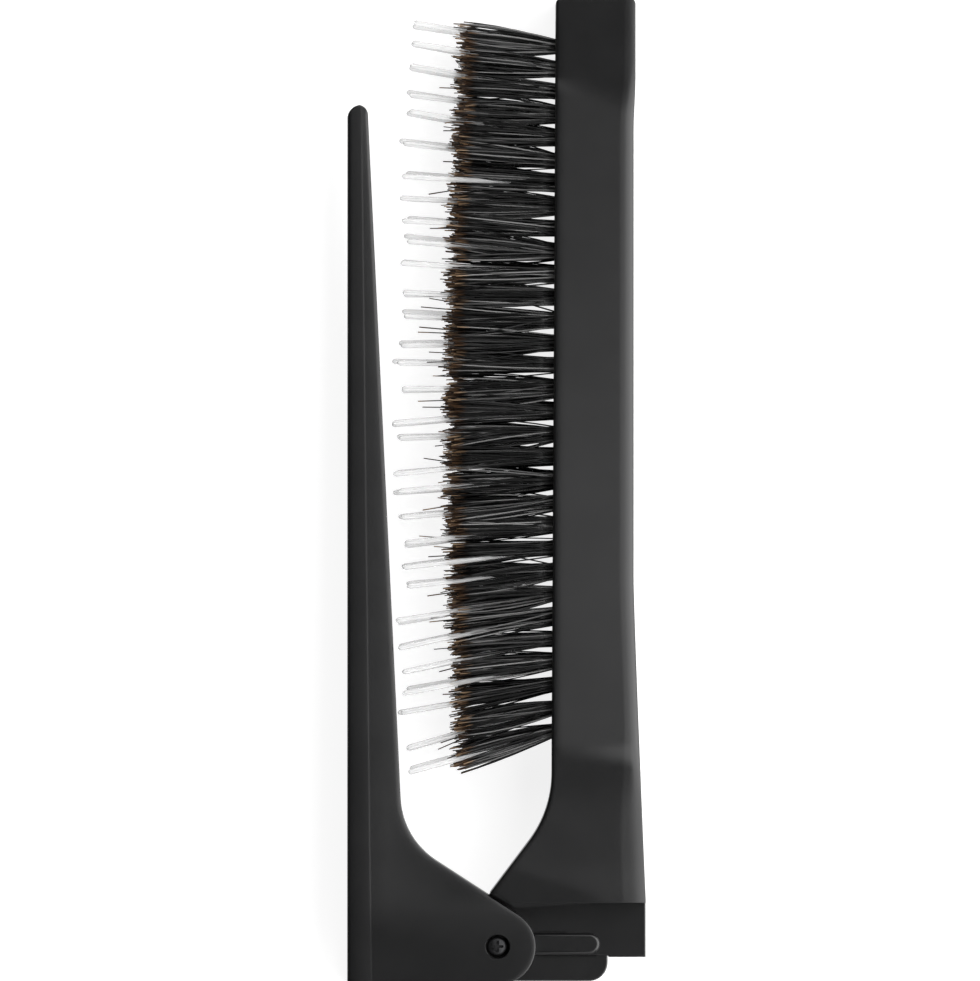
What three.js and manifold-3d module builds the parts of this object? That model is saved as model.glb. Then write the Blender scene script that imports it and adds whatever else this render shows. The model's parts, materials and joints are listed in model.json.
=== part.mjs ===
// Folding teasing brush, folded and lying on its side. Millimetres.
//
// Sizes are measured from the hinge pin: x runs across the folded brush, from the tail's
// back to the head's back, y along it, from the hinge to the tip, and z along the pin.
// The whole brush is then shifted so that it lies on z = 0, centred on the origin.

import * as THREE from "three";
import { mergeVertices } from "three/addons/utils/BufferGeometryUtils.js";
import Module from "manifold-3d";

const wasm = await Module();
wasm.setup();

// Whole brush
const DEPTH = 16; // across the hinge ears, the neck and the tip
const REACH = 23.7; // from the pin to the tail's back, and to the tongue's end
const CUT_MARGIN = 2; // how far a cutting solid stands out of what it cuts

// Clearances
const SEAT_GAP = 0.3; // between pieces that are fixed to each other
const SWING_GAP = 0.4; // between pieces that turn past each other

// Head moulding
const HEAD_TOP_Y = 151.5;
const HEAD_FRONT_TOP_X = 9.3;
const HEAD_FRONT_LOW_X = 8.6;
const HEAD_END_ROUND = 0.65;
const FRONT_EDGE_ROUND = 0.45;
const WAIST_X = 21.6; // the head's back where it is narrowest
const WAIST_TOP_Y = 130;
const WAIST_LOW_Y = 56;
const TIP_FLARE = 0.4; // how much the back stands out again at the tip
const NECK_FLARE_POWER = 1.3;
const BACK_ROUND = 2.1;
const NECK_BACK_ROUND = 3.5;
const MIDDLE_BACK_DEPTH = 13; // the middle stretch narrows towards the back
const MIDDLE_TOP_Y = 138.5;
const MIDDLE_LOW_Y = 30.7;
const MIDDLE_BLEND = 1.9;

// Neck
const NECK_CORNER_X = -1.2; // the neck's lowest corner, next to the tail's ear
const NECK_CORNER_Y = 8.6;
const NECK_ANGLE = THREE.MathUtils.degToRad(53);
const NECK_ROUND = 18;
const STEP_Y = 6.7; // where the full neck steps down to the thin tongue
const STEP_START_X = 3.1;

// Tongue
const TONGUE_DEPTH = 6;
const TONGUE_DROP = 5.6; // from the pin down to the tongue's lower edge
const NOTCH_X = 17.6; // the notch that lets the tail's back in when it is unfolded
const NOTCH_Y = -1.76;
const TONGUE_CORNER_ROUND = 3;
const RIB_HEIGHT = 0.6;
const RIB_WIDTH = 3.4;
const RIB_END_X = 16.4;
const RIB_CENTRE_Y = 0.35;

// Bristle pocket and what lies in it
const POCKET_WALL = 1.2;
const POCKET_DEPTH = 4; // from the bristle face to the pocket's floor
const TRAY_WALL = 0.9;
const STRIP_THICKNESS = 1.2;
const BASE_MARGIN = 3.9; // from the outer tufts' centres to the ends of the base
const PIN_BRIDGE = 1; // the pins' slice joins its two bars here, past the middle strip's ends
const CORE_WALL = 1.6;
const CORE_BACK_WALL = 2.2;
const CORE_CELLS = 3;

// Tufts and pins
const TUFT_COLUMNS = 31;
const TUFT_PITCH = 3.64;
const FIELD_MIDDLE_Y = 89.2;
const STRAND_RADIUS = 0.4;
const STRAND_TIP_RADIUS = 0.28;
const STRAND_SPACING = 1.4; // between the strands of one tuft, where they leave the base
const TUFT_LENGTH = 17.7;
const TUFT_CROWN = 1.7; // how much longer the middle tufts are than the end ones
const TUFT_SPREAD = 1.9; // how many times wider a tuft is at its tips
const OUTER_LEAN = 1.1; // how far the outer rows lean outwards at their tips
const LENGTH_SCATTER = 0.9;
const PIN_RADIUS = 0.45;
const PIN_LENGTH = 24.6;
const PIN_SCATTER = 1.2;
const FAN_CENTRE_Y = 97; // the tufts stand square to the head here
const FAN_SPAN = 46.7;
const FAN_ANGLE = THREE.MathUtils.degToRad(9.3);
const FAN_CURL = THREE.MathUtils.degToRad(2);

// Tail moulding
const TAIL_TOP_Y = 134.5;
const TAIL_TIP_WIDTH = 2.9;
const TAIL_TIP_DEPTH = 4.6;
const TAIL_ROOT_WIDTH = 8.5;
const TAIL_TAPER_Y = 5.4; // the ears' flat outer faces end here, and the taper starts
const TAIL_FLARE_ROUND = 12.5;
const TAIL_TIP_BACK_ROUND = 1.2;
const TAIL_ROOT_BACK_ROUND = 3.4;
const TAIL_EDGE_ROUND = 0.4;
const EAR_RADIUS = 6.1;
const EAR_SLOPE = THREE.MathUtils.degToRad(57); // direction of the ear's last tangent point
const EAR_THICKNESS = 3.8;

// Hinge hardware
const SCREW_RADIUS = 1;
const SCREW_HEAD_RADIUS = 1.6;
const SCREW_HEAD_HEIGHT = 1.2;
const SCREW_HEAD_DROP = 0.9; // how far the screw's head lies below the ear's face
const CROSS_WIDTH = 0.5;
const CROSS_LENGTH = 1.9;
const CROSS_DEPTH = 0.6;
const NUT_ACROSS_FLATS = 4;
const NUT_HEIGHT = 1.5;
const NUT_DROP = 0.9; // how far the nut lies below the rear ear's face
const BUSHING_WALL = 0.9;
const WASHER_RADIUS = 4.6;

// How finely round stretches are cut
const CIRCLE_STEPS = 40;
const EDGE_STEPS = 2;
const BACK_STEPS = 5;
const PATH_STEPS = 8;

// Sizes that follow from those above
const halfDepth = DEPTH / 2;
const earFace = halfDepth - EAR_THICKNESS;
const tongueFace = TONGUE_DEPTH / 2;
const shankHole = SCREW_RADIUS + SEAT_GAP;
const bushingRadius = shankHole + BUSHING_WALL;
const bushingBore = bushingRadius + SEAT_GAP;
const brushLowY = -EAR_RADIUS;
const neckBendY = NECK_CORNER_Y + (HEAD_FRONT_LOW_X - NECK_CORNER_X) * Math.tan(NECK_ANGLE);
const faceLean = (HEAD_FRONT_TOP_X - HEAD_FRONT_LOW_X) / (HEAD_TOP_Y - neckBendY);

// Sizes of the bristle field. It has a frame of its own: x = 0 is the head's front face, with
// y from the middle of the field along that face, which leans a little
const faceFrame = new THREE.Matrix4()
  .makeTranslation(HEAD_FRONT_LOW_X + faceLean * (FIELD_MIDDLE_Y - neckBendY), FIELD_MIDDLE_Y, 0)
  .multiply(new THREE.Matrix4().makeRotationZ(-Math.atan(faceLean)));
const baseEndY = ((TUFT_COLUMNS - 1) * TUFT_PITCH) / 2 + BASE_MARGIN;
const pocketHalf = halfDepth - POCKET_WALL;
const baseHalf = pocketHalf - SEAT_GAP;
const trayEndY = baseEndY - TRAY_WALL;
const trayHalf = baseHalf - TRAY_WALL;
const stripEndY = trayEndY - SEAT_GAP;
const stripHalf = trayHalf - SEAT_GAP;

const tuftHalf = STRAND_SPACING / 2 + STRAND_RADIUS;
const pinBarHalf = PIN_RADIUS + SEAT_GAP / 2;
const pinZ = tuftHalf + SEAT_GAP + pinBarHalf;
const outerStripZ = pinZ + pinBarHalf + SEAT_GAP;
const outerRowZ = (outerStripZ + stripHalf) / 2;

const plastic = new THREE.MeshStandardMaterial({ color: 0x2a2a2c, roughness: 0.55, metalness: 0 });
const basePlastic = new THREE.MeshStandardMaterial({ color: 0x1c1c1e, roughness: 0.6, metalness: 0 });
const boar = new THREE.MeshStandardMaterial({ color: 0x1f1a16, roughness: 0.5, metalness: 0 });
const nylon = new THREE.MeshStandardMaterial({ color: 0xe4e4e0, roughness: 0.2, metalness: 0 });
const washerPlastic = new THREE.MeshStandardMaterial({ color: 0xcfcfc8, roughness: 0.4, metalness: 0 });
const steel = new THREE.MeshStandardMaterial({ color: 0x6b6c70, roughness: 0.35, metalness: 1 });
const brass = new THREE.MeshStandardMaterial({ color: 0xb08a45, roughness: 0.4, metalness: 1 });

// Solids

function solid(geometry) {
  const bare = geometry.clone();
  for (const name of Object.keys(bare.attributes)) {
    if (name !== "position") bare.deleteAttribute(name);
  }
  const merged = mergeVertices(bare);
  return new wasm.Manifold(
    new wasm.Mesh({
      numProp: 3,
      vertProperties: Float32Array.from(merged.attributes.position.array),
      triVerts: Uint32Array.from(merged.index.array),
    }),
  );
}

function named(name, body, material) {
  const { vertProperties, triVerts } = body.getMesh();
  const geometry = new THREE.BufferGeometry();
  geometry.setAttribute("position", new THREE.BufferAttribute(Float32Array.from(vertProperties), 3));
  geometry.setIndex(new THREE.BufferAttribute(Uint32Array.from(triVerts), 1));
  const faceted = geometry.toNonIndexed();
  faceted.computeVertexNormals();
  const mesh = new THREE.Mesh(faceted, material);
  mesh.name = name;
  return mesh;
}

// A box from three pairs of limits, in the brush's frame or in another
function box([x0, x1], [y0, y1], [z0, z1], frame = new THREE.Matrix4()) {
  const geometry = new THREE.BoxGeometry(x1 - x0, y1 - y0, z1 - z0);
  geometry.translate((x0 + x1) / 2, (y0 + y1) / 2, (z0 + z1) / 2);
  return solid(geometry.applyMatrix4(frame));
}

// Limits that lie evenly about zero
function about(half) {
  return [-half, half];
}

function disc(radius, z0, z1, steps = CIRCLE_STEPS) {
  const geometry = new THREE.CylinderGeometry(radius, radius, z1 - z0, steps);
  geometry.rotateX(Math.PI / 2);
  geometry.translate(0, 0, (z0 + z1) / 2);
  return solid(geometry);
}

function plate(shape, z0, z1) {
  const geometry = new THREE.ExtrudeGeometry(shape, {
    depth: z1 - z0,
    bevelEnabled: false,
    curveSegments: PATH_STEPS,
  });
  geometry.translate(0, 0, z0);
  return solid(geometry);
}

// Closed solid through convex loops of equally many points, counterclockwise about its run
function loft(loops) {
  const count = loops[0].length;
  const last = (loops.length - 1) * count;
  const index = [];
  for (let i = 1; i < count - 1; i += 1) {
    index.push(0, i + 1, i, last, last + i, last + i + 1);
  }
  for (let row = 0; row < last; row += count) {
    for (let i = 0; i < count; i += 1) {
      const a = row + i;
      const b = row + ((i + 1) % count);
      index.push(a, b, b + count, a, b + count, a + count);
    }
  }
  const geometry = new THREE.BufferGeometry().setFromPoints(loops.flat());
  geometry.setIndex(index);
  return solid(geometry);
}

// Points of an arc that rounds one corner of a path
function roundCorner(before, corner, after, radius, steps) {
  const back = before.clone().sub(corner).normalize();
  const on = after.clone().sub(corner).normalize();
  const half = Math.acos(THREE.MathUtils.clamp(back.dot(on), -1, 1)) / 2;
  const middle = back.clone().add(on).normalize();
  const centre = corner.clone().addScaledVector(middle, radius / Math.sin(half));
  const start = corner.clone().addScaledVector(back, radius / Math.tan(half)).sub(centre);
  const end = corner.clone().addScaledVector(on, radius / Math.tan(half)).sub(centre);
  const turn = Math.atan2(start.cross(end), start.dot(end));
  const points = [];
  for (let i = 0; i <= steps; i += 1) {
    points.push(start.clone().rotateAround(new THREE.Vector2(), (turn * i) / steps).add(centre));
  }
  return points;
}

// Section across y, from its left edge to its right: each edge has its x, half its depth,
// the rounding of its two corners and their steps
function section(y, left, right) {
  const roundLimit = 0.45 * (right.x - left.x);
  const corners = [[left, 1], [right, 1], [right, -1], [left, -1]].map(([edge, side]) => ({
    point: new THREE.Vector2(edge.x, side * edge.half),
    round: Math.min(edge.round, roundLimit, 0.8 * edge.half),
    steps: edge.steps,
  }));
  return corners.flatMap(({ point, round, steps }, i) => {
    const before = corners[(i + 3) % 4].point;
    const after = corners[(i + 1) % 4].point;
    return roundCorner(before, point, after, round, steps).map(({ x, y: z }) => new THREE.Vector3(x, y, z));
  });
}

// x of a falling path at a given y
function pathX(path, y) {
  const next = path.findIndex((point) => point.y <= y + 1e-6);
  if (next <= 0) return path[next === 0 ? 0 : path.length - 1].x;
  const share = (path[next - 1].y - y) / (path[next - 1].y - path[next].y);
  return THREE.MathUtils.lerp(path[next - 1].x, path[next].x, share);
}

// How far a section draws in near a rounded end
function endInset(y, endY, round) {
  const into = Math.max(0, y - (endY - round));
  return round - Math.sqrt(Math.max(0, round * round - into * into));
}

// Repeatable scatter between -1 and 1
function scatter(a, b) {
  const value = Math.sin(a * 12.9898 + b * 78.233) * 43758.5453;
  return 2 * (value - Math.floor(value)) - 1;
}

// Head

function headFrontPath() {
  const bend = new THREE.Vector2(HEAD_FRONT_LOW_X, neckBendY);
  const top = new THREE.Vector2(HEAD_FRONT_TOP_X, HEAD_TOP_Y);
  const corner = new THREE.Vector2(NECK_CORNER_X, NECK_CORNER_Y);
  const step = new THREE.Vector2(STEP_START_X, STEP_Y);
  return [top, ...roundCorner(top, bend, corner, NECK_ROUND, PATH_STEPS), corner, step];
}

function headBackX(y) {
  const tip = THREE.MathUtils.smoothstep(y, WAIST_TOP_Y, MIDDLE_TOP_Y);
  const neck = Math.max(0, (WAIST_LOW_Y - y) / (WAIST_LOW_Y - STEP_Y));
  return WAIST_X + TIP_FLARE * tip + (REACH - WAIST_X) * neck ** NECK_FLARE_POWER;
}

// 1 along the narrowed middle stretch, 0 on the tip and the neck
function middleShare(y) {
  const fromEnd = Math.min(MIDDLE_TOP_Y - y, y - MIDDLE_LOW_Y);
  return THREE.MathUtils.clamp(fromEnd / MIDDLE_BLEND, 0, 1);
}

function headShell() {
  const path = headFrontPath();
  const heights = path.map((point) => point.y);
  for (const y of [MIDDLE_TOP_Y, MIDDLE_TOP_Y - MIDDLE_BLEND, WAIST_TOP_Y, WAIST_LOW_Y]) heights.push(y);
  for (const y of [MIDDLE_LOW_Y + MIDDLE_BLEND, MIDDLE_LOW_Y]) heights.push(y);
  for (let i = 1; i < 4; i += 1) heights.push(THREE.MathUtils.lerp(MIDDLE_LOW_Y, WAIST_LOW_Y, i / 4));
  for (let i = 0; i < 3; i += 1) heights.push(HEAD_TOP_Y - HEAD_END_ROUND * (1 - Math.sin((i * Math.PI) / 6)));
  const rising = [...new Set(heights)].sort((a, b) => a - b);
  const loops = rising.map((y) => {
    const inset = endInset(y, HEAD_TOP_Y, HEAD_END_ROUND) * 0.8;
    const narrow = ((DEPTH - MIDDLE_BACK_DEPTH) / 2) * middleShare(y);
    const round = THREE.MathUtils.lerp(
      NECK_BACK_ROUND,
      BACK_ROUND,
      THREE.MathUtils.smoothstep(y, STEP_Y + DEPTH, MIDDLE_LOW_Y + DEPTH),
    );
    const half = halfDepth - inset;
    const front = { x: pathX(path, y) + inset, half, round: FRONT_EDGE_ROUND, steps: EDGE_STEPS };
    const back = { x: headBackX(y) - inset, half: half - narrow, round, steps: BACK_STEPS };
    return section(y, front, back);
  });
  return loft(loops);
}

function tongueShape() {
  const root = STEP_Y + CUT_MARGIN;
  const shape = new THREE.Shape();
  shape.moveTo(STEP_START_X + CUT_MARGIN, root);
  shape.absarc(0, 0, TONGUE_DROP, EAR_SLOPE, 1.5 * Math.PI, false);
  shape.lineTo(NOTCH_X - TONGUE_CORNER_ROUND, -TONGUE_DROP);
  shape.absarc(
    NOTCH_X - TONGUE_CORNER_ROUND,
    TONGUE_CORNER_ROUND - TONGUE_DROP,
    TONGUE_CORNER_ROUND,
    1.5 * Math.PI,
    2 * Math.PI,
    false,
  );
  shape.lineTo(NOTCH_X, NOTCH_Y);
  shape.lineTo(REACH, NOTCH_Y);
  shape.lineTo(REACH, STEP_Y);
  shape.lineTo(REACH - CUT_MARGIN, STEP_Y);
  shape.lineTo(REACH - CUT_MARGIN, root);
  return shape;
}

function ribShape() {
  const half = RIB_WIDTH / 2;
  const shape = new THREE.Shape();
  shape.moveTo(WASHER_RADIUS + SWING_GAP, RIB_CENTRE_Y - half);
  shape.absarc(RIB_END_X - half, RIB_CENTRE_Y, half, -Math.PI / 2, Math.PI / 2, false);
  shape.lineTo(WASHER_RADIUS + SWING_GAP, RIB_CENTRE_Y + half);
  return shape;
}

function headBody() {
  let body = headShell();
  body = body.add(plate(tongueShape(), -tongueFace, tongueFace));
  body = body.add(plate(ribShape(), -tongueFace - RIB_HEIGHT, tongueFace + RIB_HEIGHT));
  body = body.subtract(disc(bushingBore, -halfDepth, halfDepth));
  const pocketX = [-CUT_MARGIN, POCKET_DEPTH];
  body = body.subtract(box(pocketX, about(baseEndY + SEAT_GAP), about(pocketHalf), faceFrame));
  const cell = (2 * baseEndY - CORE_WALL) / CORE_CELLS;
  const coreX = [POCKET_DEPTH - CUT_MARGIN, WAIST_X - HEAD_FRONT_TOP_X - CORE_BACK_WALL];
  const coreHalf = MIDDLE_BACK_DEPTH / 2 - CORE_WALL;
  for (let i = 0; i < CORE_CELLS; i += 1) {
    const low = i * cell + CORE_WALL - baseEndY;
    body = body.subtract(box(coreX, [low, low + cell - CORE_WALL], about(coreHalf), faceFrame));
  }
  return body;
}

// Bristles

function strand(base, tip, baseRadius, tipRadius, sides) {
  const ring = (centre, radius) =>
    Array.from({ length: sides }, (_, i) => {
      const angle = (-2 * Math.PI * i) / sides;
      return new THREE.Vector3(
        centre.x,
        centre.y + radius * Math.cos(angle),
        centre.z + radius * Math.sin(angle),
      );
    });
  return loft([ring(base, baseRadius), ring(tip, tipRadius)]);
}

function columnY(column) {
  return (column - (TUFT_COLUMNS - 1) / 2) * TUFT_PITCH;
}

function fanAngle(y) {
  const share = (FIELD_MIDDLE_Y + y - FAN_CENTRE_Y) / FAN_SPAN;
  return FAN_ANGLE * share + FAN_CURL * share ** 3;
}

// The tufts are longest in the middle of the head
function crownShare(column) {
  return Math.sin((Math.PI * (column + 0.5)) / TUFT_COLUMNS);
}

function strandRoot(y, z) {
  return new THREE.Vector3(STRIP_THICKNESS / 2, y, z);
}

function boarRow(rowZ, lean, stripEnd, stripSides) {
  let row = box([0, STRIP_THICKNESS], about(stripEnd), stripSides);
  for (let column = 0; column < TUFT_COLUMNS; column += 1) {
    const centreY = columnY(column);
    const spread = (STRAND_SPACING * (TUFT_SPREAD - 1)) / 2;
    for (const [sideY, sideZ] of [[-1, -1], [-1, 1], [1, -1], [1, 1]]) {
      const y = centreY + (sideY * STRAND_SPACING) / 2;
      const z = rowZ + (sideZ * STRAND_SPACING) / 2;
      const uneven = LENGTH_SCATTER * scatter(4 * column + sideY + 2 * sideZ, rowZ);
      const length = TUFT_LENGTH - TUFT_CROWN * (1 - crownShare(column)) + uneven;
      const tipY = y + length * Math.tan(fanAngle(centreY)) + sideY * spread;
      const tipZ = z + (sideZ * lean > 0 ? lean : 0);
      const tip = new THREE.Vector3(-length, tipY, tipZ);
      row = row.add(strand(strandRoot(y, z), tip, STRAND_RADIUS, STRAND_TIP_RADIUS, 3));
    }
  }
  return row;
}

// Two lines of pins on one slice, which runs round the middle row's strip
function nylonPins() {
  const window = about(STRIP_THICKNESS + CUT_MARGIN);
  let pins = box([0, STRIP_THICKNESS], about(stripEndY), about(pinZ + pinBarHalf));
  pins = pins.subtract(box(window, about(stripEndY - PIN_BRIDGE), about(pinZ - pinBarHalf)));
  for (let column = 0; column < TUFT_COLUMNS; column += 1) {
    for (const side of [-1, 1]) {
      const y = columnY(column);
      const z = side * pinZ;
      const uneven = PIN_SCATTER * scatter(column, side);
      const length = PIN_LENGTH - TUFT_CROWN * (1 - crownShare(column)) + uneven;
      const tip = new THREE.Vector3(-length, y + length * Math.tan(fanAngle(y)), z);
      pins = pins.add(strand(strandRoot(y, z), tip, PIN_RADIUS, PIN_RADIUS, 4));
    }
  }
  return pins;
}

// A tray that fills the pocket, flush with the head's front face, and holds the strips
function bristleBase() {
  const tray = box([0, POCKET_DEPTH - SEAT_GAP], about(baseEndY), about(baseHalf));
  const recess = [-CUT_MARGIN, STRIP_THICKNESS + SEAT_GAP];
  return tray.subtract(box(recess, about(trayEndY), about(trayHalf)));
}

// Tail

function tailInnerPath() {
  const tip = new THREE.Vector2(TAIL_TIP_WIDTH - REACH, TAIL_TOP_Y);
  const bendX = TAIL_ROOT_WIDTH - REACH;
  const bendY = (EAR_RADIUS - bendX * Math.cos(EAR_SLOPE)) / Math.sin(EAR_SLOPE);
  const bend = new THREE.Vector2(bendX, bendY);
  const lobe = [];
  for (let i = 0; i <= PATH_STEPS; i += 1) {
    const angle = THREE.MathUtils.lerp(EAR_SLOPE, -Math.PI / 2, i / PATH_STEPS);
    lobe.push(new THREE.Vector2(EAR_RADIUS * Math.cos(angle), EAR_RADIUS * Math.sin(angle)));
  }
  return [tip, ...roundCorner(tip, bend, lobe[0], TAIL_FLARE_ROUND, PATH_STEPS), ...lobe];
}

function tailBlank() {
  const path = tailInnerPath();
  const tipRound = TAIL_TIP_WIDTH / 2;
  const heights = path.map((point) => point.y);
  heights.push(TAIL_TAPER_Y, brushLowY + TAIL_EDGE_ROUND);
  for (let i = 0; i < 4; i += 1) heights.push(TAIL_TOP_Y - tipRound * (1 - Math.sin((i * Math.PI) / 7)));
  const rising = [...new Set(heights)].sort((a, b) => a - b);
  const loops = rising.map((y) => {
    const share = THREE.MathUtils.clamp((y - TAIL_TAPER_Y) / (TAIL_TOP_Y - TAIL_TAPER_Y), 0, 1);
    const inset = endInset(y, TAIL_TOP_Y, tipRound) * 0.85;
    const lowInset = TAIL_EDGE_ROUND * THREE.MathUtils.clamp(1 - (y - brushLowY) / TAIL_EDGE_ROUND, 0, 1);
    const half = THREE.MathUtils.lerp(halfDepth, TAIL_TIP_DEPTH / 2, share) - inset - lowInset;
    const round = THREE.MathUtils.lerp(TAIL_ROOT_BACK_ROUND, TAIL_TIP_BACK_ROUND, share);
    const back = { x: inset - REACH, half, round, steps: BACK_STEPS };
    const inner = { x: pathX(path, y) - inset, half, round: TAIL_EDGE_ROUND, steps: EDGE_STEPS };
    return section(y, back, inner);
  });
  return loft(loops);
}

// The slot takes the tongue; where it opens through the tail's back, the tongue's end comes
// to lie when the tail is unfolded
function tailSlot() {
  const webX = -NOTCH_X - SWING_GAP;
  const shape = new THREE.Shape();
  shape.moveTo(webX, TONGUE_DROP + SWING_GAP);
  shape.lineTo(webX, SWING_GAP - NOTCH_Y);
  shape.lineTo(-REACH - CUT_MARGIN, SWING_GAP - NOTCH_Y);
  shape.lineTo(-REACH - CUT_MARGIN, brushLowY - CUT_MARGIN);
  shape.lineTo(EAR_RADIUS + CUT_MARGIN, brushLowY - CUT_MARGIN);
  shape.lineTo(EAR_RADIUS + CUT_MARGIN, TONGUE_DROP + SWING_GAP);
  return plate(shape, -earFace, earFace);
}

function tailHandle() {
  const screwSeat = halfDepth - SCREW_HEAD_DROP - SCREW_HEAD_HEIGHT - SEAT_GAP;
  const nutSeat = halfDepth - NUT_DROP - NUT_HEIGHT - SEAT_GAP;
  return tailBlank()
    .subtract(tailSlot())
    .subtract(disc(shankHole, -halfDepth - CUT_MARGIN, halfDepth + CUT_MARGIN))
    .subtract(disc(SCREW_HEAD_RADIUS + SEAT_GAP, screwSeat, halfDepth + CUT_MARGIN))
    .subtract(hexagon(NUT_ACROSS_FLATS / 2 + SEAT_GAP, -halfDepth - CUT_MARGIN, -nutSeat));
}

// Hinge hardware

function hexagon(flatRadius, z0, z1) {
  return disc(flatRadius / Math.cos(Math.PI / 6), z0, z1, 6);
}

function pivotScrew() {
  const top = halfDepth - SCREW_HEAD_DROP;
  const seat = top - SCREW_HEAD_HEIGHT;
  const arm = CROSS_LENGTH / 2;
  const half = CROSS_WIDTH / 2;
  return disc(SCREW_HEAD_RADIUS, seat, top)
    .add(disc(SCREW_RADIUS, NUT_DROP - halfDepth, seat + SCREW_HEAD_HEIGHT / 2))
    .subtract(box(about(arm), about(half), [top - CROSS_DEPTH, top + CUT_MARGIN]))
    .subtract(box(about(half), about(arm), [top - CROSS_DEPTH, top + CUT_MARGIN]));
}

function pivotNut() {
  const low = NUT_DROP - halfDepth;
  return hexagon(NUT_ACROSS_FLATS / 2, low, low + NUT_HEIGHT).subtract(
    disc(shankHole, low - CUT_MARGIN, low + NUT_HEIGHT + CUT_MARGIN),
  );
}

function pivotBushing() {
  const half = earFace - SEAT_GAP;
  return disc(bushingRadius, -half, half).subtract(disc(shankHole, -half - CUT_MARGIN, half + CUT_MARGIN));
}

function washer(side) {
  const inner = tongueFace + SEAT_GAP;
  const outer = earFace - SEAT_GAP;
  const ends = side > 0 ? [inner, outer] : [-outer, -inner];
  return disc(WASHER_RADIUS, ...ends).subtract(disc(bushingBore, -halfDepth, halfDepth));
}

// Assembly

const middleEndY = stripEndY - PIN_BRIDGE - SEAT_GAP;

const bristles = new THREE.Group();
bristles.applyMatrix4(faceFrame);
bristles.add(
  named("bristle_base", bristleBase(), basePlastic),
  named("boar_row_front", boarRow(outerRowZ, OUTER_LEAN, stripEndY, [outerStripZ, stripHalf]), boar),
  named("boar_row_middle", boarRow(0, 0, middleEndY, about(tuftHalf)), boar),
  named("boar_row_rear", boarRow(-outerRowZ, -OUTER_LEAN, stripEndY, [-stripHalf, -outerStripZ]), boar),
  named("nylon_pins", nylonPins(), nylon),
);

const brush = new THREE.Group();
brush.add(
  named("head_body", headBody(), plastic),
  bristles,
  named("tail_handle", tailHandle(), plastic),
  named("pivot_screw", pivotScrew(), steel),
  named("pivot_nut", pivotNut(), steel),
  named("pivot_bushing", pivotBushing(), brass),
  named("washer_front", washer(1), washerPlastic),
  named("washer_rear", washer(-1), washerPlastic),
);
brush.position.set(0, -(HEAD_TOP_Y + brushLowY) / 2, halfDepth);

export default brush;
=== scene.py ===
# Folding teasing brush, folded and lying on its side: the finished shapes, hairs and surfaces
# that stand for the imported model's solids.
#
# Shapes are worked out in millimetres from the hinge pin: x runs across the folded brush,
# from the tail's back to the head's back, y along it, from the hinge to the tip, and z along
# the pin. to_frame() turns them into the shared frame.

import json
import math

import bmesh
import bpy
from mathutils import Matrix, Vector


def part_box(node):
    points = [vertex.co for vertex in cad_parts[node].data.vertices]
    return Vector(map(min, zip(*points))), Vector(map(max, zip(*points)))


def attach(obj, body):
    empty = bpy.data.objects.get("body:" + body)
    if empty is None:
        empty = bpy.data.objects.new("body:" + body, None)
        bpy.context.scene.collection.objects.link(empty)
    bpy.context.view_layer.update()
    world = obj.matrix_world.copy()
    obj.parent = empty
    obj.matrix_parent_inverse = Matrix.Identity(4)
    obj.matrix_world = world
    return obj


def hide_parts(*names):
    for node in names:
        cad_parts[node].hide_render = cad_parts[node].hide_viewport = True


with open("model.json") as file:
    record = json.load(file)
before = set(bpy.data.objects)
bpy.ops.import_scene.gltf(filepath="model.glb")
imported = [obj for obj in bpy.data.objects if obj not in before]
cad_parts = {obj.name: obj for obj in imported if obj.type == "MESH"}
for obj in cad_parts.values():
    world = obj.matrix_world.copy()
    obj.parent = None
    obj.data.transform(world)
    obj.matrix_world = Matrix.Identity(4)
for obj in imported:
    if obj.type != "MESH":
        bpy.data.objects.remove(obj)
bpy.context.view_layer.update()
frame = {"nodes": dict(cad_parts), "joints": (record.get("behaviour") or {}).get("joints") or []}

MM = 0.001
PIN = Vector(frame["joints"][0]["pos_m"])


def to_frame(point):
    """A point in millimetres from the pin, in the shared frame."""
    return PIN + Vector(point) * MM


def node_box(node):
    """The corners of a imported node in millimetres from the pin."""
    return [(corner - PIN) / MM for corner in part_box(node)]


head_low, head_high = node_box("head_body")
tail_low, tail_high = node_box("tail_handle")

# Whole brush
HALF_DEPTH = head_high.z
REACH = head_high.x
SEAT_GAP = 0.3
CUT_REACH = 9

# Head moulding
HEAD_TOP_Y = head_high.y
HEAD_FRONT_TOP_X = 9.3
HEAD_FRONT_LOW_X = 8.6
HEAD_END_ROUND = 0.35
HEAD_CORNER_ROUND = 1.0
HEAD_FRONT_ROUND = 0.45
FRONT_ROLL = 1.9
FRONT_ROLL_DROP = 0.09
WAIST_X = 21.75
WAIST_TOP_Y = 130
WAIST_LOW_Y = 58
TIP_FLARE = 0.3
NECK_FLARE_POWER = 1.12

# The head's long back edge: a strip that slopes a little, rolls over and ends in a rounding
BACK_STRIP_TIP = 1.9
BACK_STRIP_MIDDLE = 2.3
BACK_STRIP_NECK = 3.8
BACK_STRIP_SLOPE = 0.045
BACK_STRIP_BLEND = 0.3
BACK_STRIP_LOW_Y = (14, 38)
BACK_ROLL = 1.8
BACK_ROLL_NECK = 2.8
BACK_ROLL_DROP = 0.34
BACK_ROLL_DROP_TIP = 0.1
BACK_ROLL_DROP_NECK = 0.17
BACK_ROLL_LOW_Y = (20, 32)
BACK_TIP_Y = (131, 142)
BACK_ROUND = 0.15

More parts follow.
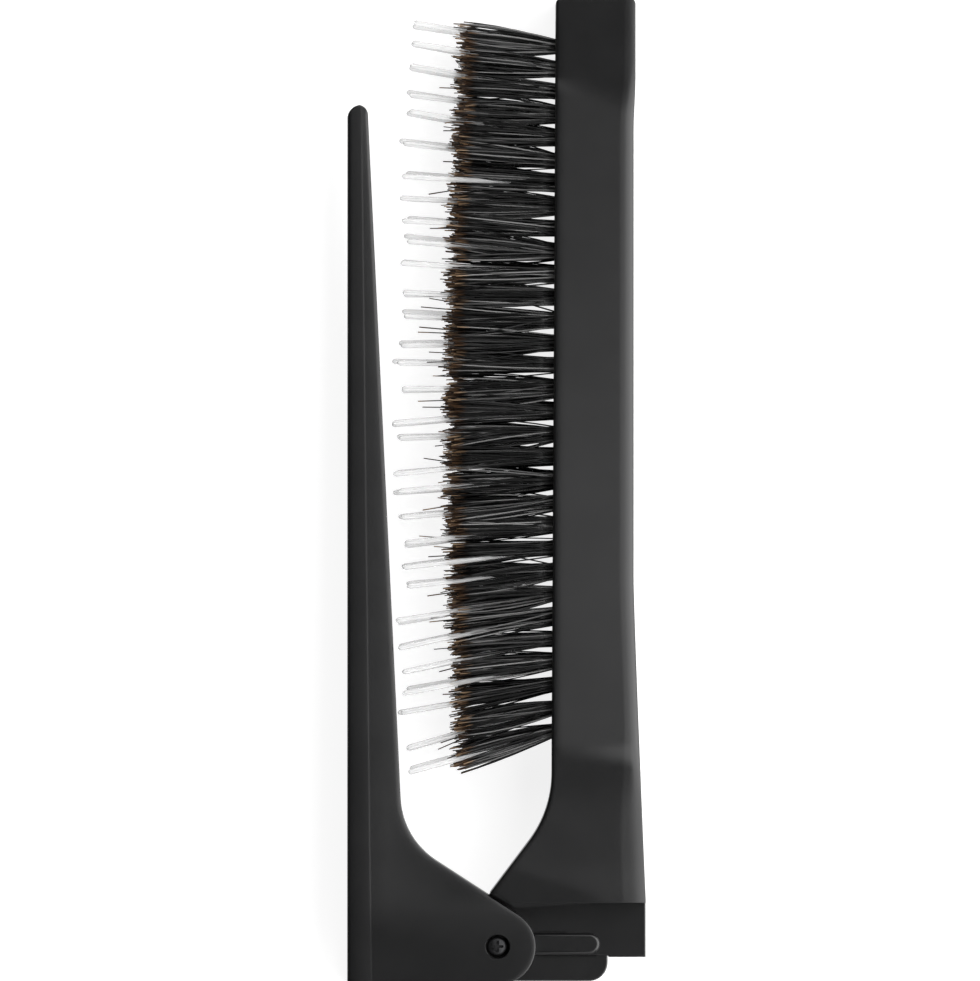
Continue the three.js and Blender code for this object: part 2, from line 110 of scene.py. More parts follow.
# The head's middle stretch, which slopes towards the back
MIDDLE_SLOPE_DROP = 0.98
MIDDLE_SLOPE_DROP_TOP = 0.48
MIDDLE_SLOPE_LEVELLING_Y = (75, 134)
TIP_LEAN_DROP = 0.35
MIDDLE_TOP_Y = 139.3
MIDDLE_LOW_Y = 30.0
MIDDLE_TOP_SLANT = 2.0
MIDDLE_LOW_SLANT = 0.7
MIDDLE_BLEND = 3.0
MIDDLE_BACK_BLEND = 2.5

# Neck
NECK_CORNER = (-1.2, 8.6)
NECK_ANGLE = math.radians(53)
NECK_ROUND = 18
STEP_START_X = 1.6
STEP_Y = 7.0
STEP_EDGE_ROUND = 0.02
NECK_SLOPE = 0.034
NECK_SLOPE_BLEND = 2
NECK_SLOPE_LOW_Y = (7, 14)
NECK_SLOPE_TOP_Y = (20.5, 27.5)
NECK_LEVEL_X = 15

# Stretches of the head's grid: where each starts and ends, and how far apart its rows are
HEAD_ROWS = (
    (STEP_Y + 0.3, NECK_CORNER[1], 0.25),
    (NECK_CORNER[1], 27, 0.5),
    (27, 35, 0.25),
    (34, WAIST_TOP_Y, 6),
    (WAIST_TOP_Y, 139, 0.3),
    (139, HEAD_TOP_Y - HEAD_CORNER_ROUND, 1),
)

# Tongue
TONGUE_HALF = 3
TONGUE_RADIUS = 5.3
TONGUE_ARC = (57, 343.6)
TONGUE_ROOT_X = 5.1
TONGUE_ROOT_OVERLAP = 2
TONGUE_BACK_INSET = 0.02
TONGUE_LOW_Y = -1.5
TONGUE_DROP = 5.6
TONGUE_EDGE_ROUND = 0.2
LIP = ((-1.15, 8.58), (2.9, 6.2), (13.5, 6.8), (15, 7.02), (15, 7.6), (1, 7.9))
LIP_GAP = 0.05
WEB_REACH = (5.5, 7.5)
WEB_SPAN = (-0.8, 5.6)
WEB_HALF = 3.03
WEB_GAP = 0.3
NOTCH_X = 17.6
NOTCH_Y = -1.76
NOTCH_BEVEL = 0.2
TONGUE_CORNER_ROUND = 3
LOBE_DROP = 0.25
LOBE_INNER = ((NOTCH_X, 0.5), (3.1, 5))
RIB_HEIGHT = 0.6
RIB_WIDTH = 3.4
RIB_START_X = 5
RIB_END_X = 16.4
RIB_CENTRE_Y = 0.35
RIB_EDGE_ROUND = 0.5
GROOVE_DEPTH = 0.3
LOWER_GROOVE = ((5.3, 15.8), (-1.68, -1.4))
UPPER_GROOVE = ((5.8, 10.8), (2.1, 2.4))

# Bristle field. Its own frame has x = 0 on the head's front face and y from its middle
FIELD_MIDDLE_Y = 89.2
TUFT_COLUMNS = 31
TUFT_PITCH = 3.64
TUFT_ROW_Z = 4.1
PIN_ROW_Z = 2.0
POCKET_DEPTH = 4
POCKET_HALF = HALF_DEPTH - 1.2
BED_HALF = POCKET_HALF - SEAT_GAP
BED_END_Y = (TUFT_COLUMNS - 1) * TUFT_PITCH / 2 + 3.9
FAN_CENTRE_Y = 97
FAN_SPAN = 46.7
FAN_ANGLE = math.radians(9.3)
FAN_CURL = math.radians(1.7)

# Tail moulding
TAIL_TOP_Y = tail_high.y
TAIL_REACH = REACH + 0.3
TAIL_TIP_WIDTH = 2.9
TAIL_TIP_HALF = 2.3
TAIL_LEAST_HALF = 0.3
TAIL_TIP_BACK_ROUND = 2.2
TAIL_TIP_INNER_ROUND = 1.5
TAIL_ROOT_WIDTH = 8.5
TAIL_TAPER_Y = 5.4
TAIL_FLARE_ROUND = 12.5
TAIL_TIP_END_ROUND = 0.25
TAIL_EDGE_ROUND = 0.18
TAIL_EDGE_ROLL = 1.9
TAIL_EDGE_ROLL_DROP = 0.036
TAIL_CREASE_TIP = 2.1
TAIL_CREASE_ROOT = 3.7
TAIL_CREASE_STEP = 0.016
TAIL_CREASE_WIDTH = 0.3
TAIL_BACK_CURVE = 0.014
TAIL_BACK_RIDGE = 1.5
TAIL_BACK_ROUND = 0.5
TAIL_SIDE_SLOPE = 0.042
TAIL_SIDE_CURVE = 0.004
TAIL_SIDE_REACH = 3
TAIL_SIDE_FADE = 12
TAIL_SIDE_LOW_Y = (0, 9.5)
EAR_RADIUS = tail_high.x
EAR_SLOPE = math.radians(57)
EAR_FACE = 4.2
EAR_BARREL = 0.1
SLOT_GAP = 0.4

# Stretches of the tail's grid, in the same way
TAIL_ROWS = (
    (tail_low.y + TAIL_EDGE_ROUND, 4, 0.35),
    (4, 27, 0.6),
    (27, TAIL_TOP_Y - 4, 3),
)
TAIL_GRID_FIT = 0.48

# Hinge hardware
SHANK_HOLE = 1.3
SCREW_RADIUS = 1
SCREW_POINT = 0.25
SCREW_HEAD_RADIUS = 1.6
SCREW_TOP = HALF_DEPTH - 0.9
SCREW_HEAD_HEIGHT = 1.2
SCREW_DOME = 0.5
CROSS_REACH = 0.95
CROSS_HALF = 0.22
CROSS_DEPTH = 0.7
SCREW_RECESS_RADIUS = 1.9
RECESS_CHAMFER = 0.15
RECESS_RIM = 0.05
SCREW_SEAT = SCREW_TOP - SCREW_HEAD_HEIGHT - SEAT_GAP
NUT_FLAT_RADIUS = 2
NUT_HEIGHT = 1.5
NUT_CHAMFER = 0.22
NUT_COUNTERSINK = 0.25
NUT_SEAT = SCREW_TOP - NUT_HEIGHT - SEAT_GAP
BUSHING_BORE = 2.5


# Shape helpers

def smooth_share(value, start, end):
    """0 before start, 1 after end, and a smooth rise between them."""
    share = min(1, max(0, (value - start) / (end - start)))
    return share * share * (3 - 2 * share)


def blend(a, b, share):
    return a + (b - a) * share


def round_drop(distance, radius):
    """How far a rounded edge lies below its face, at a distance from the edge."""
    into = radius - min(radius, max(0, distance))
    return radius - math.sqrt(max(0, radius * radius - into * into))


def roll_drop(distance, width, drop):
    """How far a face has rolled down near an edge: gently at first and ever faster."""
    into = 1 - min(1, max(0, distance / width))
    return drop * into ** 3


def slope_drop(distance, slope, blend_width):
    """How far a slope lies below its start, with a soft beginning."""
    if distance <= 0:
        return 0
    if distance < blend_width:
        return slope * distance * distance / (2 * blend_width)
    return slope * (distance - blend_width / 2)


def arc(centre, radius, start, end, steps):
    """Points of an arc, with its angles in degrees."""
    angles = [math.radians(start + (end - start) * i / steps) for i in range(steps + 1)]
    return [(centre[0] + radius * math.cos(a), centre[1] + radius * math.sin(a)) for a in angles]


def round_corner(before, corner, after, radius, steps):
    """Points of an arc that rounds one corner of a path."""
    corner = Vector(corner)
    back = (Vector(before) - corner).normalized()
    on = (Vector(after) - corner).normalized()
    half = back.angle(on) / 2
    centre = corner + (back + on).normalized() * (radius / math.sin(half))
    start = corner + back * (radius / math.tan(half)) - centre
    end = corner + on * (radius / math.tan(half)) - centre
    turn = math.atan2(start.x * end.y - start.y * end.x, start.dot(end))
    return [tuple(centre + Matrix.Rotation(turn * i / steps, 2) @ start) for i in range(steps + 1)]


def path_x(path, y):
    """x of a falling path at a given y."""
    for (x0, y0), (x1, y1) in zip(path, path[1:]):
        if y1 <= y <= y0 and y0 > y1:
            return blend(x0, x1, (y0 - y) / (y0 - y1))
    return path[0][0] if y > path[0][1] else path[-1][0]


def path_distance(path, x, y):
    """The distance from a point to a path."""
    best = math.inf
    for (x0, y0), (x1, y1) in zip(path, path[1:]):
        dx = x1 - x0
        dy = y1 - y0
        share = ((x - x0) * dx + (y - y0) * dy) / (dx * dx + dy * dy)
        share = min(1, max(0, share))
        best = min(best, math.hypot(x - x0 - share * dx, y - y0 - share * dy))
    return best


def row_heights(stretches):
    """The ys of a grid's rows, about a step apart in each stretch."""
    heights = []
    for start, end, step in stretches:
        count = max(1, round((end - start) / step))
        heights += [start + (end - start) * i / count for i in range(count + 1)]
    return heights


def edge_insets(radius, steps):
    """Insets that place a grid's lines evenly round an edge."""
    return [radius * (1 - math.cos(math.pi / 2 * i / steps)) for i in range(steps + 1)]


def roll_insets(radius, width, shares):
    """Insets of the lines that follow those round an edge, over the roll beside it."""
    return [blend(radius, width, share) for share in shares]


def row_stretch(path, y, step, most):
    """How much further apart a path's slant sets a row's lines beside it."""
    slope = (path_x(path, y + step) - path_x(path, y - step)) / (2 * step)
    return min(most, math.hypot(1, slope))


def mesh_object(name, bm):
    mesh = bpy.data.meshes.new(name)
    bmesh.ops.recalc_face_normals(bm, faces=bm.faces)
    bm.to_mesh(mesh)
    bm.free()
    piece = bpy.data.objects.new(name, mesh)
    bpy.context.scene.collection.objects.link(piece)
    return piece


def loft(name, loops):
    """A closed piece through loops of equally many points."""
    bm = bmesh.new()
    rings = [[bm.verts.new(to_frame(point)) for point in loop] for loop in loops]
    count = len(loops[0])
    bm.faces.new(rings[0])
    bm.faces.new(rings[-1])
    for low, high in zip(rings, rings[1:]):
        for i in range(count):
            j = (i + 1) % count
            bm.faces.new((low[i], low[j], high[j], high[i]))
    return mesh_object(name, bm)


def slab(name, rows, height):
    """A piece whose two side faces mirror each other. A row holds its y and its xs, and
    height(x, y) gives half the depth there."""
    loops = []
    for y, xs in rows:
        upper = [(x, y, height(x, y)) for x in xs]
        lower = [(x, y, -z) for x, y, z in reversed(upper)]
        loops.append(upper + lower)
    return loft(name, loops)


def row_xs(left, right, left_insets, right_insets, middle_steps):
    """Places across one row, close together near its two edges."""
    start = left + left_insets[-1]
    end = right - right_insets[-1]
    middle = [start + (end - start) * i / middle_steps for i in range(1, middle_steps)]
    xs = [left + inset for inset in left_insets] + middle
    return xs + [right - inset for inset in reversed(right_insets)]


def plate(name, outline, low, high, edge_round=0):
    """A flat piece with a given outline, whose edges may be rounded."""
    count = len(outline)
    normals = []
    for i, point in enumerate(outline):
        before = Vector(outline[i - 1])
        after = Vector(outline[(i + 1) % count])
        onward = (after - Vector(point)).normalized()
        ahead = ((Vector(point) - before).normalized() + onward).normalized()
        normals.append(Vector((ahead.y, -ahead.x)) / max(0.5, ahead.dot(onward)))
    rises = [(0, 0)]
    if edge_round:
        angles = [math.pi / 2 * i / 4 for i in range(5)]
        rises = [(edge_round * (1 - math.sin(a)), edge_round * (1 - math.cos(a))) for a in angles]
        rises.insert(0, (edge_round * 1.3, 0))
    levels = [(inset, low + rise) for inset, rise in rises]
    levels += [(inset, high - rise) for inset, rise in reversed(rises)]
    loops = []
    for inset, z in levels:
        loops.append([(x - n.x * inset, y - n.y * inset, z) for (x, y), n in zip(outline, normals)])
    return loft(name, loops)


def lathe(name, profile, steps=48):
    """A round piece about the pin. The profile runs along z and never touches the axis."""
    loops = []
    for radius, z in profile:
        loops.append([(x, y, z) for x, y in arc((0, 0), radius, 0, 360 - 360 / steps, steps - 1)])
    return loft(name, loops)


def box(name, xs, ys, zs, placed=Matrix()):
    bm = bmesh.new()
    corners = [[[bm.verts.new(to_frame(placed @ Vector((x, y, z)))) for z in zs] for y in ys] for x in xs]
    (a, b), (c, d) = corners
    for ring in ((a[0], a[1], b[1], b[0]), (c[0], c[1], d[1], d[0]), (a[0], b[0], d[0], c[0])):
        bm.faces.new(ring)
    for ring in ((a[1], b[1], d[1], c[1]), (a[0], a[1], c[1], c[0]), (b[0], b[1], d[1], d[0])):
        bm.faces.new(ring)
    return mesh_object(name, bm)


def settle(piece):
    """Turns a piece's modifiers into its mesh."""
    depsgraph = bpy.context.evaluated_depsgraph_get()
    mesh = bpy.data.meshes.new_from_object(piece.evaluated_get(depsgraph))
    piece.modifiers.clear()
    piece.data = mesh


def combine(piece, operation, *others):
    """Joins other pieces to a piece, or cuts them from it."""
    for other in others:
        modifier = piece.modifiers.new(operation.lower(), "BOOLEAN")
        modifier.operation = operation
        modifier.solver = "EXACT"
        modifier.object = other
        settle(piece)
        bpy.data.objects.remove(other)


def finish_surface(piece, material, sharp_degrees=35):
    piece.data.materials.clear()
    piece.data.materials.append(material)
    piece.data.shade_smooth()
    piece.data.set_sharp_from_angle(angle=math.radians(sharp_degrees))


def place(piece, body, slot, *nodes):
    """Puts a finished piece on its body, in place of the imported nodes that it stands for."""
    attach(piece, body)
    if nodes:
        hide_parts(*nodes)


# Node helpers

class Result:
    """What a node gives out. Arithmetic with it adds the nodes that work out the answer."""

    def __init__(self, tree, socket):
        self.tree = tree
        self.socket = socket

    def __add__(self, other):
        return calc("ADD", self, other)

    def __sub__(self, other):
        return calc("SUBTRACT", self, other)

    def __rsub__(self, other):
        return calc("SUBTRACT", other, self)

    def __mul__(self, other):
        return calc("MULTIPLY", self, other)

    def __truediv__(self, other):
        return calc("DIVIDE", self, other)

    def __pow__(self, power):
        return calc("POWER", self, power)

    def __abs__(self):
        return calc("ABSOLUTE", self)

    def __neg__(self):
        return calc("MULTIPLY", self, -1.0)

    __radd__ = __add__
    __rmul__ = __mul__


def feed(made, values):
    """Sets a node's inputs, or links them to other nodes' results."""
    for name, value in values.items():
        socket = next(s for s in made.inputs if name in (s.identifier, s.name))
        if isinstance(value, Result):
            value.tree.links.new(value.socket, socket)
        else:
            socket.default_value = value


def node(tree, kind, values=None, **settings):
    """A new node with its settings and what its inputs are fed."""
    made = tree.nodes.new(kind)
    for name, setting in settings.items():
        setattr(made, name, setting)
    feed(made, values or {})
    return made


def results(made):
    """What a node gives, by name."""
    return {socket.name: Result(made.id_data, socket) for socket in made.outputs}


def result(tree, kind, values=None, given=None, **settings):
    """What a new node gives: its first result, or the one whose identifier is given."""
    made = node(tree, kind, values, **settings)
    return Result(tree, next(s for s in made.outputs if given in (None, s.identifier)))


def calc(operation, *values):
    """One arithmetic step, where at least one value is another node's result."""
    tree = next(value.tree for value in values if isinstance(value, Result))
    inputs = dict(zip(("Value", "Value_001", "Value_002"), values))
    return result(tree, "ShaderNodeMath", inputs, operation=operation)


def calc_vector(operation, first, second):
    """One arithmetic step on a vector and a second vector, or a scale."""
    name = "Scale" if operation == "SCALE" else "Vector_001"
    return result(first.tree, "ShaderNodeVectorMath", {"Vector": first, name: second}, operation=operation)


def vector(tree, x=0.0, y=0.0, z=0.0):
    return result(tree, "ShaderNodeCombineXYZ", {"X": x, "Y": y, "Z": z})


def mapped(value, start, end, low=0.0, high=1.0):
    """A value carried from one range over to another, and held inside it."""
    values = {"Value": value, "From Min": start, "From Max": end, "To Min": low, "To Max": high}
    return result(value.tree, "ShaderNodeMapRange", values)


def ramp(value, stops):
    """A colour for a value between 0 and 1."""
    made = node(value.tree, "ShaderNodeValToRGB", {"Fac": value})
    elements = made.color_ramp.elements
    while len(elements) < len(stops):
        elements.new(0.5)
    for element, (place_on_ramp, colour) in zip(elements, stops):
        element.position = place_on_ramp
        element.color = (*colour, 1)
    return results(made)["Color"]


def noise(coordinates, scale, detail=2.0):
    values = {"Vector": coordinates, "Scale": scale, "Detail": detail}
    return result(coordinates.tree, "ShaderNodeTexNoise", values)


def mix_colours(share, a, b):
    values = {"Factor_Float": share, "A_Color": a, "B_Color": b}
    return result(share.tree, "ShaderNodeMix", values, "Result_Color", data_type="RGBA")


def object_place(tree):
    """The place on the piece that is being shaded."""
    return result(tree, "ShaderNodeTexCoord", given="Object")


SOCKET_KINDS = {int: "NodeSocketInt", float: "NodeSocketFloat", type(None): "NodeSocketMaterial"}


def new_group(name, tree_kind, inputs, outputs, output_kind):
    """A node group, with what its inputs give by name. An input without a value is a material."""
    group = bpy.data.node_groups.new(name, tree_kind)
    for label, value in inputs.items():
        kind = SOCKET_KINDS[type(value)]
        socket = group.interface.new_socket(label, in_out="INPUT", socket_type=kind)
        if value is not None:
            socket.default_value = value
    for label in outputs:
        group.interface.new_socket(label, in_out="OUTPUT", socket_type=output_kind)
    return group, results(node(group, "NodeGroupInput"))


# Materials

def grey(level):
    return (level, level, level)


def scaled(colour, share):
    return [share * channel for channel in colour]


def moulded_grain_group():
    """Fine spark-eroded grain with slow changes of gloss, for every moulded plastic surface."""
    inputs = {"Grain Scale": 4200.0, "Slow Scale": 160.0, "Roughness": 0.45, "Gloss Change": 0.05}
    outputs = ("Roughness", "Height")
    group, given = new_group("moulded_grain", "ShaderNodeTree", inputs, outputs, "NodeSocketFloat")
    here = object_place(group)
    grain = noise(here, given["Grain Scale"], 3.0)
    slow = noise(here, given["Slow Scale"])
    change = (grain - 0.5) * given["Gloss Change"] + (slow - 0.5) * given["Gloss Change"]
    node(group, "NodeGroupOutput", {"Roughness": given["Roughness"] + change, "Height": grain})
    return group


moulded_grain = moulded_grain_group()
CLOUD_SCALE = 90.0
MILK_SCALE = 300.0
PIN_GLOSS_SCALE = 900.0
RING_STRETCH = (1.0, 1.0, 6.0)


def empty_material(name):
    """A material with its node tree and its Principled shader."""
    material = bpy.data.materials.new(name)
    material.use_nodes = True
    tree = material.node_tree
    shader = next(n for n in tree.nodes if n.type == "BSDF_PRINCIPLED")
    return material, tree, shader


def moulded_plastic(name, colour, roughness, grain_scale, grain_depth):
    material, tree, shader = empty_material(name)
    values = {"Grain Scale": grain_scale, "Roughness": roughness}
    grain = results(node(tree, "ShaderNodeGroup", values, node_tree=moulded_grain))
    cloud = noise(object_place(tree), CLOUD_SCALE)
    bump = result(tree, "ShaderNodeBump", {"Height": grain["Height"], "Distance": grain_depth * MM})
    feed(shader, {
        "Base Color": ramp(cloud, [(0.35, scaled(colour, 0.94)), (0.65, scaled(colour, 1.06))]),
        "Roughness": grain["Roughness"],
        "Normal": bump,
    })
    return material


# Painted light: each hair is coloured lighter just above the base, where the head's side shades the roots.
# The root tones are that painted light, and they fade into the shaft tones over this span along the hair.
HAIR_ROOT_PAINTED_LIGHT_FADE = (0.11, 0.18)
HAIR_BROWN_END = (0.91, 1.01)
HAIR_ROOT_PAINTED_LIGHT_TONES = [(0.0, grey(0.018)), (0.55, grey(0.05)), (0.8, grey(0.15)), (1.0, (0.4, 0.398, 0.396))]
HAIR_SHAFT_TONES = [
    (0.0, grey(0.0015)),
    (0.55, grey(0.004)),
    (0.8, grey(0.034)),
    (1.0, (0.22, 0.218, 0.216)),
]
HAIR_END_TONES = [
    (0.0, (0.018, 0.011, 0.007)),
    (0.45, (0.085, 0.045, 0.025)),
    (0.75, (0.21, 0.12, 0.062)),
    (1.0, (0.66, 0.45, 0.28)),
]
HAIR_END_REPEATS = 7.0
HAIR_END_CHANGE = 0.05


def hair_material():
    """Bristle from black to grey, hair by hair, that runs out into brown and tan split tips. Just above the
    base each hair is painted lighter: painted light where the head's side shades the roots.
    """
    material, tree, shader = empty_material("boar_hair")
    along = result(tree, "ShaderNodeAttribute", given="Fac", attribute_name="along")
    tone = result(tree, "ShaderNodeAttribute", given="Fac", attribute_name="tone")
    # Painted light at the roots: a lighter colour that stands in for the light the head's side keeps off
    # them.
    root = ramp(tone, HAIR_ROOT_PAINTED_LIGHT_TONES)
    shaft = mix_colours(mapped(along, *HAIR_ROOT_PAINTED_LIGHT_FADE), root, ramp(tone, HAIR_SHAFT_TONES))
    end = ramp(calc("FRACT", tone * HAIR_END_REPEATS), HAIR_END_TONES)
    to_end = mapped(tone * HAIR_END_CHANGE + along, *HAIR_BROWN_END)
    feed(shader, {
        "Base Color": mix_colours(to_end, shaft, end),
        "Roughness": mapped(tone, 0.0, 1.0, 0.26, 0.42),
        "Specular IOR Level": 0.3,
    })
    return material


def nylon_material():
    """Clear nylon with a faint milkiness that changes along each pin."""
    material, tree, shader = empty_material("clear_nylon")
    here = object_place(tree)
    feed(shader, {
        "Base Color": ramp(noise(here, MILK_SCALE), [(0.3, grey(0.86)), (0.7, grey(0.92))]),
        "Roughness": mapped(noise(here, PIN_GLOSS_SCALE), 0.3, 0.7, 0.14, 0.22),
        "Transmission Weight": 0.72,
        "IOR": 1.25,
    })
    return material


def metal_material(name, colour, roughness, streak_scale):
    """Turned metal with fine rings and a slightly uneven tone."""
    material, tree, shader = empty_material(name)
    values = {"Vector": object_place(tree), "Scale": RING_STRETCH}
    streaks = noise(result(tree, "ShaderNodeMapping", values), streak_scale, 4.0)
    feed(shader, {
        "Base Color": ramp(streaks, [(0.3, scaled(colour, 0.8)), (0.7, colour)]),
        "Roughness": mapped(streaks, 0.3, 0.7, roughness - 0.06, roughness + 0.08),
        "Normal": result(tree, "ShaderNodeBump", {"Height": streaks, "Distance": 0.01 * MM}),
        "Metallic": 1.0,
    })
    return material


black_plastic = moulded_plastic("black_plastic", (0.0055, 0.0055, 0.0058), 0.3, 4200.0, 0.004)
base_plastic = moulded_plastic("base_plastic", (0.006, 0.006, 0.0063), 0.5, 3200.0, 0.01)
washer_plastic = moulded_plastic("washer_plastic", (0.62, 0.62, 0.58), 0.4, 3000.0, 0.006)
boar_hair = hair_material()
clear_nylon = nylon_material()
screw_steel = metal_material("screw_steel", (0.05, 0.05, 0.052), 0.44, 1500.0)
bushing_brass = metal_material("bushing_brass", (0.7, 0.5, 0.22), 0.35, 1200.0)


# Camera, light and floor, in metres

CAMERA_DISTANCE = 4
PICTURE_WIDTH = 0.1568
PICTURE_CENTRE = (-0.0012, 0.00014)
SENSOR_WIDTH_MM = 36
WORLD_OVERHEAD = 0.02
WORLD_HORIZON = 0.5
BOX_DISTANCE = 1.2
FLOOR_SIZE = 4
FLOOR_COLOUR = 0.35
FLOOR_GLOW = 0.85
FLOOR_GLOW_IN_GLOSS = (-0.05, 0.03)
FLOOR_DIM_SHARE = 0.2


def add_camera():
    camera = bpy.data.objects.new("camera", bpy.data.cameras.new("camera"))
    bpy.context.scene.collection.objects.link(camera)
    camera.location = (*PICTURE_CENTRE, HALF_DEPTH * MM + CAMERA_DISTANCE)
    camera.data.sensor_fit = "HORIZONTAL"
    camera.data.sensor_width = SENSOR_WIDTH_MM
    camera.data.lens = SENSOR_WIDTH_MM * CAMERA_DISTANCE / PICTURE_WIDTH
    camera.data.clip_end = 20
    bpy.context.scene.camera = camera


def seen_directly(tree):
    """1 where the camera looks, straight or through clear plastic, and 0 for other light."""
    path = results(node(tree, "ShaderNodeLightPath"))
    return calc("MAXIMUM", path["Is Camera Ray"], path["Is Transmission Ray"])


def add_world():
    """A dim ceiling above and pale walls all round."""
    world = bpy.data.worlds.new("studio")
    bpy.context.scene.world = world
    world.use_nodes = True
    tree = world.node_tree
    background = next(n for n in tree.nodes if n.type == "BACKGROUND")
    direction = result(tree, "ShaderNodeTexCoord", given="Generated")
    height = result(tree, "ShaderNodeSeparateXYZ", {"Vector": direction}, "Z")
    level = mapped(1.0 - abs(height), 0.0, 1.0, WORLD_OVERHEAD, WORLD_HORIZON)
    feed(background, {"Strength": calc("MAXIMUM", level, seen_directly(tree))})


def add_soft_box(name, azimuth, tilt_from, tilt_to, width, level):
    """A soft box that faces the brush, between two tilts from straight up, in degrees. Its
    level is the brightness of its face."""
    tilt = math.radians((tilt_from + tilt_to) / 2)
    turn = math.radians(azimuth)
    data = bpy.data.lights.new(name, "AREA")
    data.shape = "RECTANGLE"
    data.size = width
    data.size_y = 2 * BOX_DISTANCE * math.tan(math.radians(tilt_to - tilt_from) / 2)
    data.energy = level * math.pi * data.size * data.size_y
    light = bpy.data.objects.new(name, data)
    bpy.context.scene.collection.objects.link(light)
    direction = Vector((math.sin(tilt) * math.cos(turn), math.sin(tilt) * math.sin(turn), math.cos(tilt)))
    light.location = direction * BOX_DISTANCE
    light.rotation_euler = (-direction).to_track_quat("-Z", "Y").to_euler()


def add_floor():
    """A pale floor that keeps the brush's shadow, white where nothing shades it. In
    reflections its left side is dim, as beside a black card."""
    bm = bmesh.new()
    bmesh.ops.create_grid(bm, x_segments=1, y_segments=1, size=FLOOR_SIZE / 2)
    floor = mesh_object("floor", bm)
    material, tree, shader = empty_material("floor_paper")
    across = result(tree, "ShaderNodeSeparateXYZ", {"Vector": object_place(tree)}, "X")
    in_gloss = result(tree, "ShaderNodeLightPath", given="Is Glossy Ray")
    in_gloss = in_gloss * mapped(across, *FLOOR_GLOW_IN_GLOSS, FLOOR_DIM_SHARE, 1.0)
    feed(shader, {
        "Base Color": (*grey(FLOOR_COLOUR), 1),
        "Roughness": 0.9,
        "Specular IOR Level": 0.0,
        "Emission Color": (1, 1, 1, 1),
        "Emission Strength": calc("MAXIMUM", seen_directly(tree), in_gloss) * FLOOR_GLOW,
    })
    floor.data.materials.append(material)


bpy.context.scene.view_settings.view_transform = "Standard"
add_camera()
add_world()
add_soft_box("right_box", 0, 14, 80, 1.9, 3.3)
add_soft_box("rim_box", 0, 40, 80, 1.9, 1.6)
add_soft_box("upper_box", 90, 22, 72, 1.1, 1.6)
add_soft_box("lower_box", -90, 34, 78, 1.1, 1.3)
add_floor()


# Head moulding

def head_front_path():
    """The bristle side of the head and the neck's slope, from the tip down to the step."""
    bend_y = NECK_CORNER[1] + (HEAD_FRONT_LOW_X - NECK_CORNER[0]) * math.tan(NECK_ANGLE)
    top = (HEAD_FRONT_TOP_X, HEAD_TOP_Y)
    rounded = round_corner(top, (HEAD_FRONT_LOW_X, bend_y), NECK_CORNER, NECK_ROUND, 20)
    return [top, *rounded, NECK_CORNER, (STEP_START_X, STEP_Y)], bend_y


head_front, neck_bend_y = head_front_path()
face_lean = (HEAD_FRONT_TOP_X - HEAD_FRONT_LOW_X) / (HEAD_TOP_Y - neck_bend_y)
face_x = HEAD_FRONT_LOW_X + face_lean * (FIELD_MIDDLE_Y - neck_bend_y)
FACE = Matrix.Translation((face_x, FIELD_MIDDLE_Y, 0)) @ Matrix.Rotation(-math.atan(face_lean), 4, "Z")


def head_back_x(y):
    tip = smooth_share(y, WAIST_TOP_Y, MIDDLE_TOP_Y)
    neck = max(0, (WAIST_LOW_Y - y) / (WAIST_LOW_Y - STEP_Y))
    return WAIST_X + TIP_FLARE * tip + (REACH - WAIST_X) * neck ** NECK_FLARE_POWER


def back_strip(y):
    """The width of the strip that slopes down to the back edge."""
    tip = blend(BACK_STRIP_MIDDLE, BACK_STRIP_TIP, smooth_share(y, *BACK_TIP_Y))
    return blend(BACK_STRIP_NECK, tip, smooth_share(y, *BACK_STRIP_LOW_Y))


def back_roll(x, y):
    """How far the face has rolled down near the back edge."""
    above_neck = smooth_share(y, *BACK_ROLL_LOW_Y)
    drop = blend(BACK_ROLL_DROP, BACK_ROLL_DROP_TIP, smooth_share(y, *BACK_TIP_Y))
    drop = blend(BACK_ROLL_DROP_NECK, drop, above_neck)
    return roll_drop(head_back_x(y) - x, blend(BACK_ROLL_NECK, BACK_ROLL, above_neck), drop)


def front_roll(x, y):
    """How far the face has rolled down beside the bristles."""
    low = FIELD_MIDDLE_Y - BED_END_Y
    top = FIELD_MIDDLE_Y + BED_END_Y
    share = smooth_share(y, low - 1, low + 1) * (1 - smooth_share(y, top - 1, top))
    return share * roll_drop(path_distance(head_front, x, y), FRONT_ROLL, FRONT_ROLL_DROP)


def stretch_shares(y, across):
    """How much a place belongs to the tip and to the sloping middle stretch, which has
    slanting soft ends. The rest is the neck."""
    reach = MIDDLE_BLEND + MIDDLE_BACK_BLEND * across
    top = MIDDLE_TOP_Y - MIDDLE_TOP_SLANT * across + MIDDLE_BACK_BLEND * across / 2
    low = MIDDLE_LOW_Y - MIDDLE_LOW_SLANT * across - MIDDLE_BACK_BLEND * across / 2
    tip = smooth_share(y, top - reach, top)
    return tip, (1 - tip) * smooth_share(y, low, low + reach)


def middle_slope_drop(y):
    """How far the middle stretch has sloped down at the back. It slopes least near the tip."""
    low, high = MIDDLE_SLOPE_LEVELLING_Y
    share = min(1, max(0, (y - low) / (high - low)))
    return blend(MIDDLE_SLOPE_DROP, MIDDLE_SLOPE_DROP_TOP, share)


def neck_drop(x, y):
    """The neck slopes to the back, except at its top and over the front part of its root."""
    start_x = NECK_LEVEL_X * (1 - smooth_share(y, *NECK_SLOPE_LOW_Y))
    sloped = slope_drop(x - start_x, NECK_SLOPE, NECK_SLOPE_BLEND)
    return sloped * (1 - smooth_share(y, *NECK_SLOPE_TOP_Y))


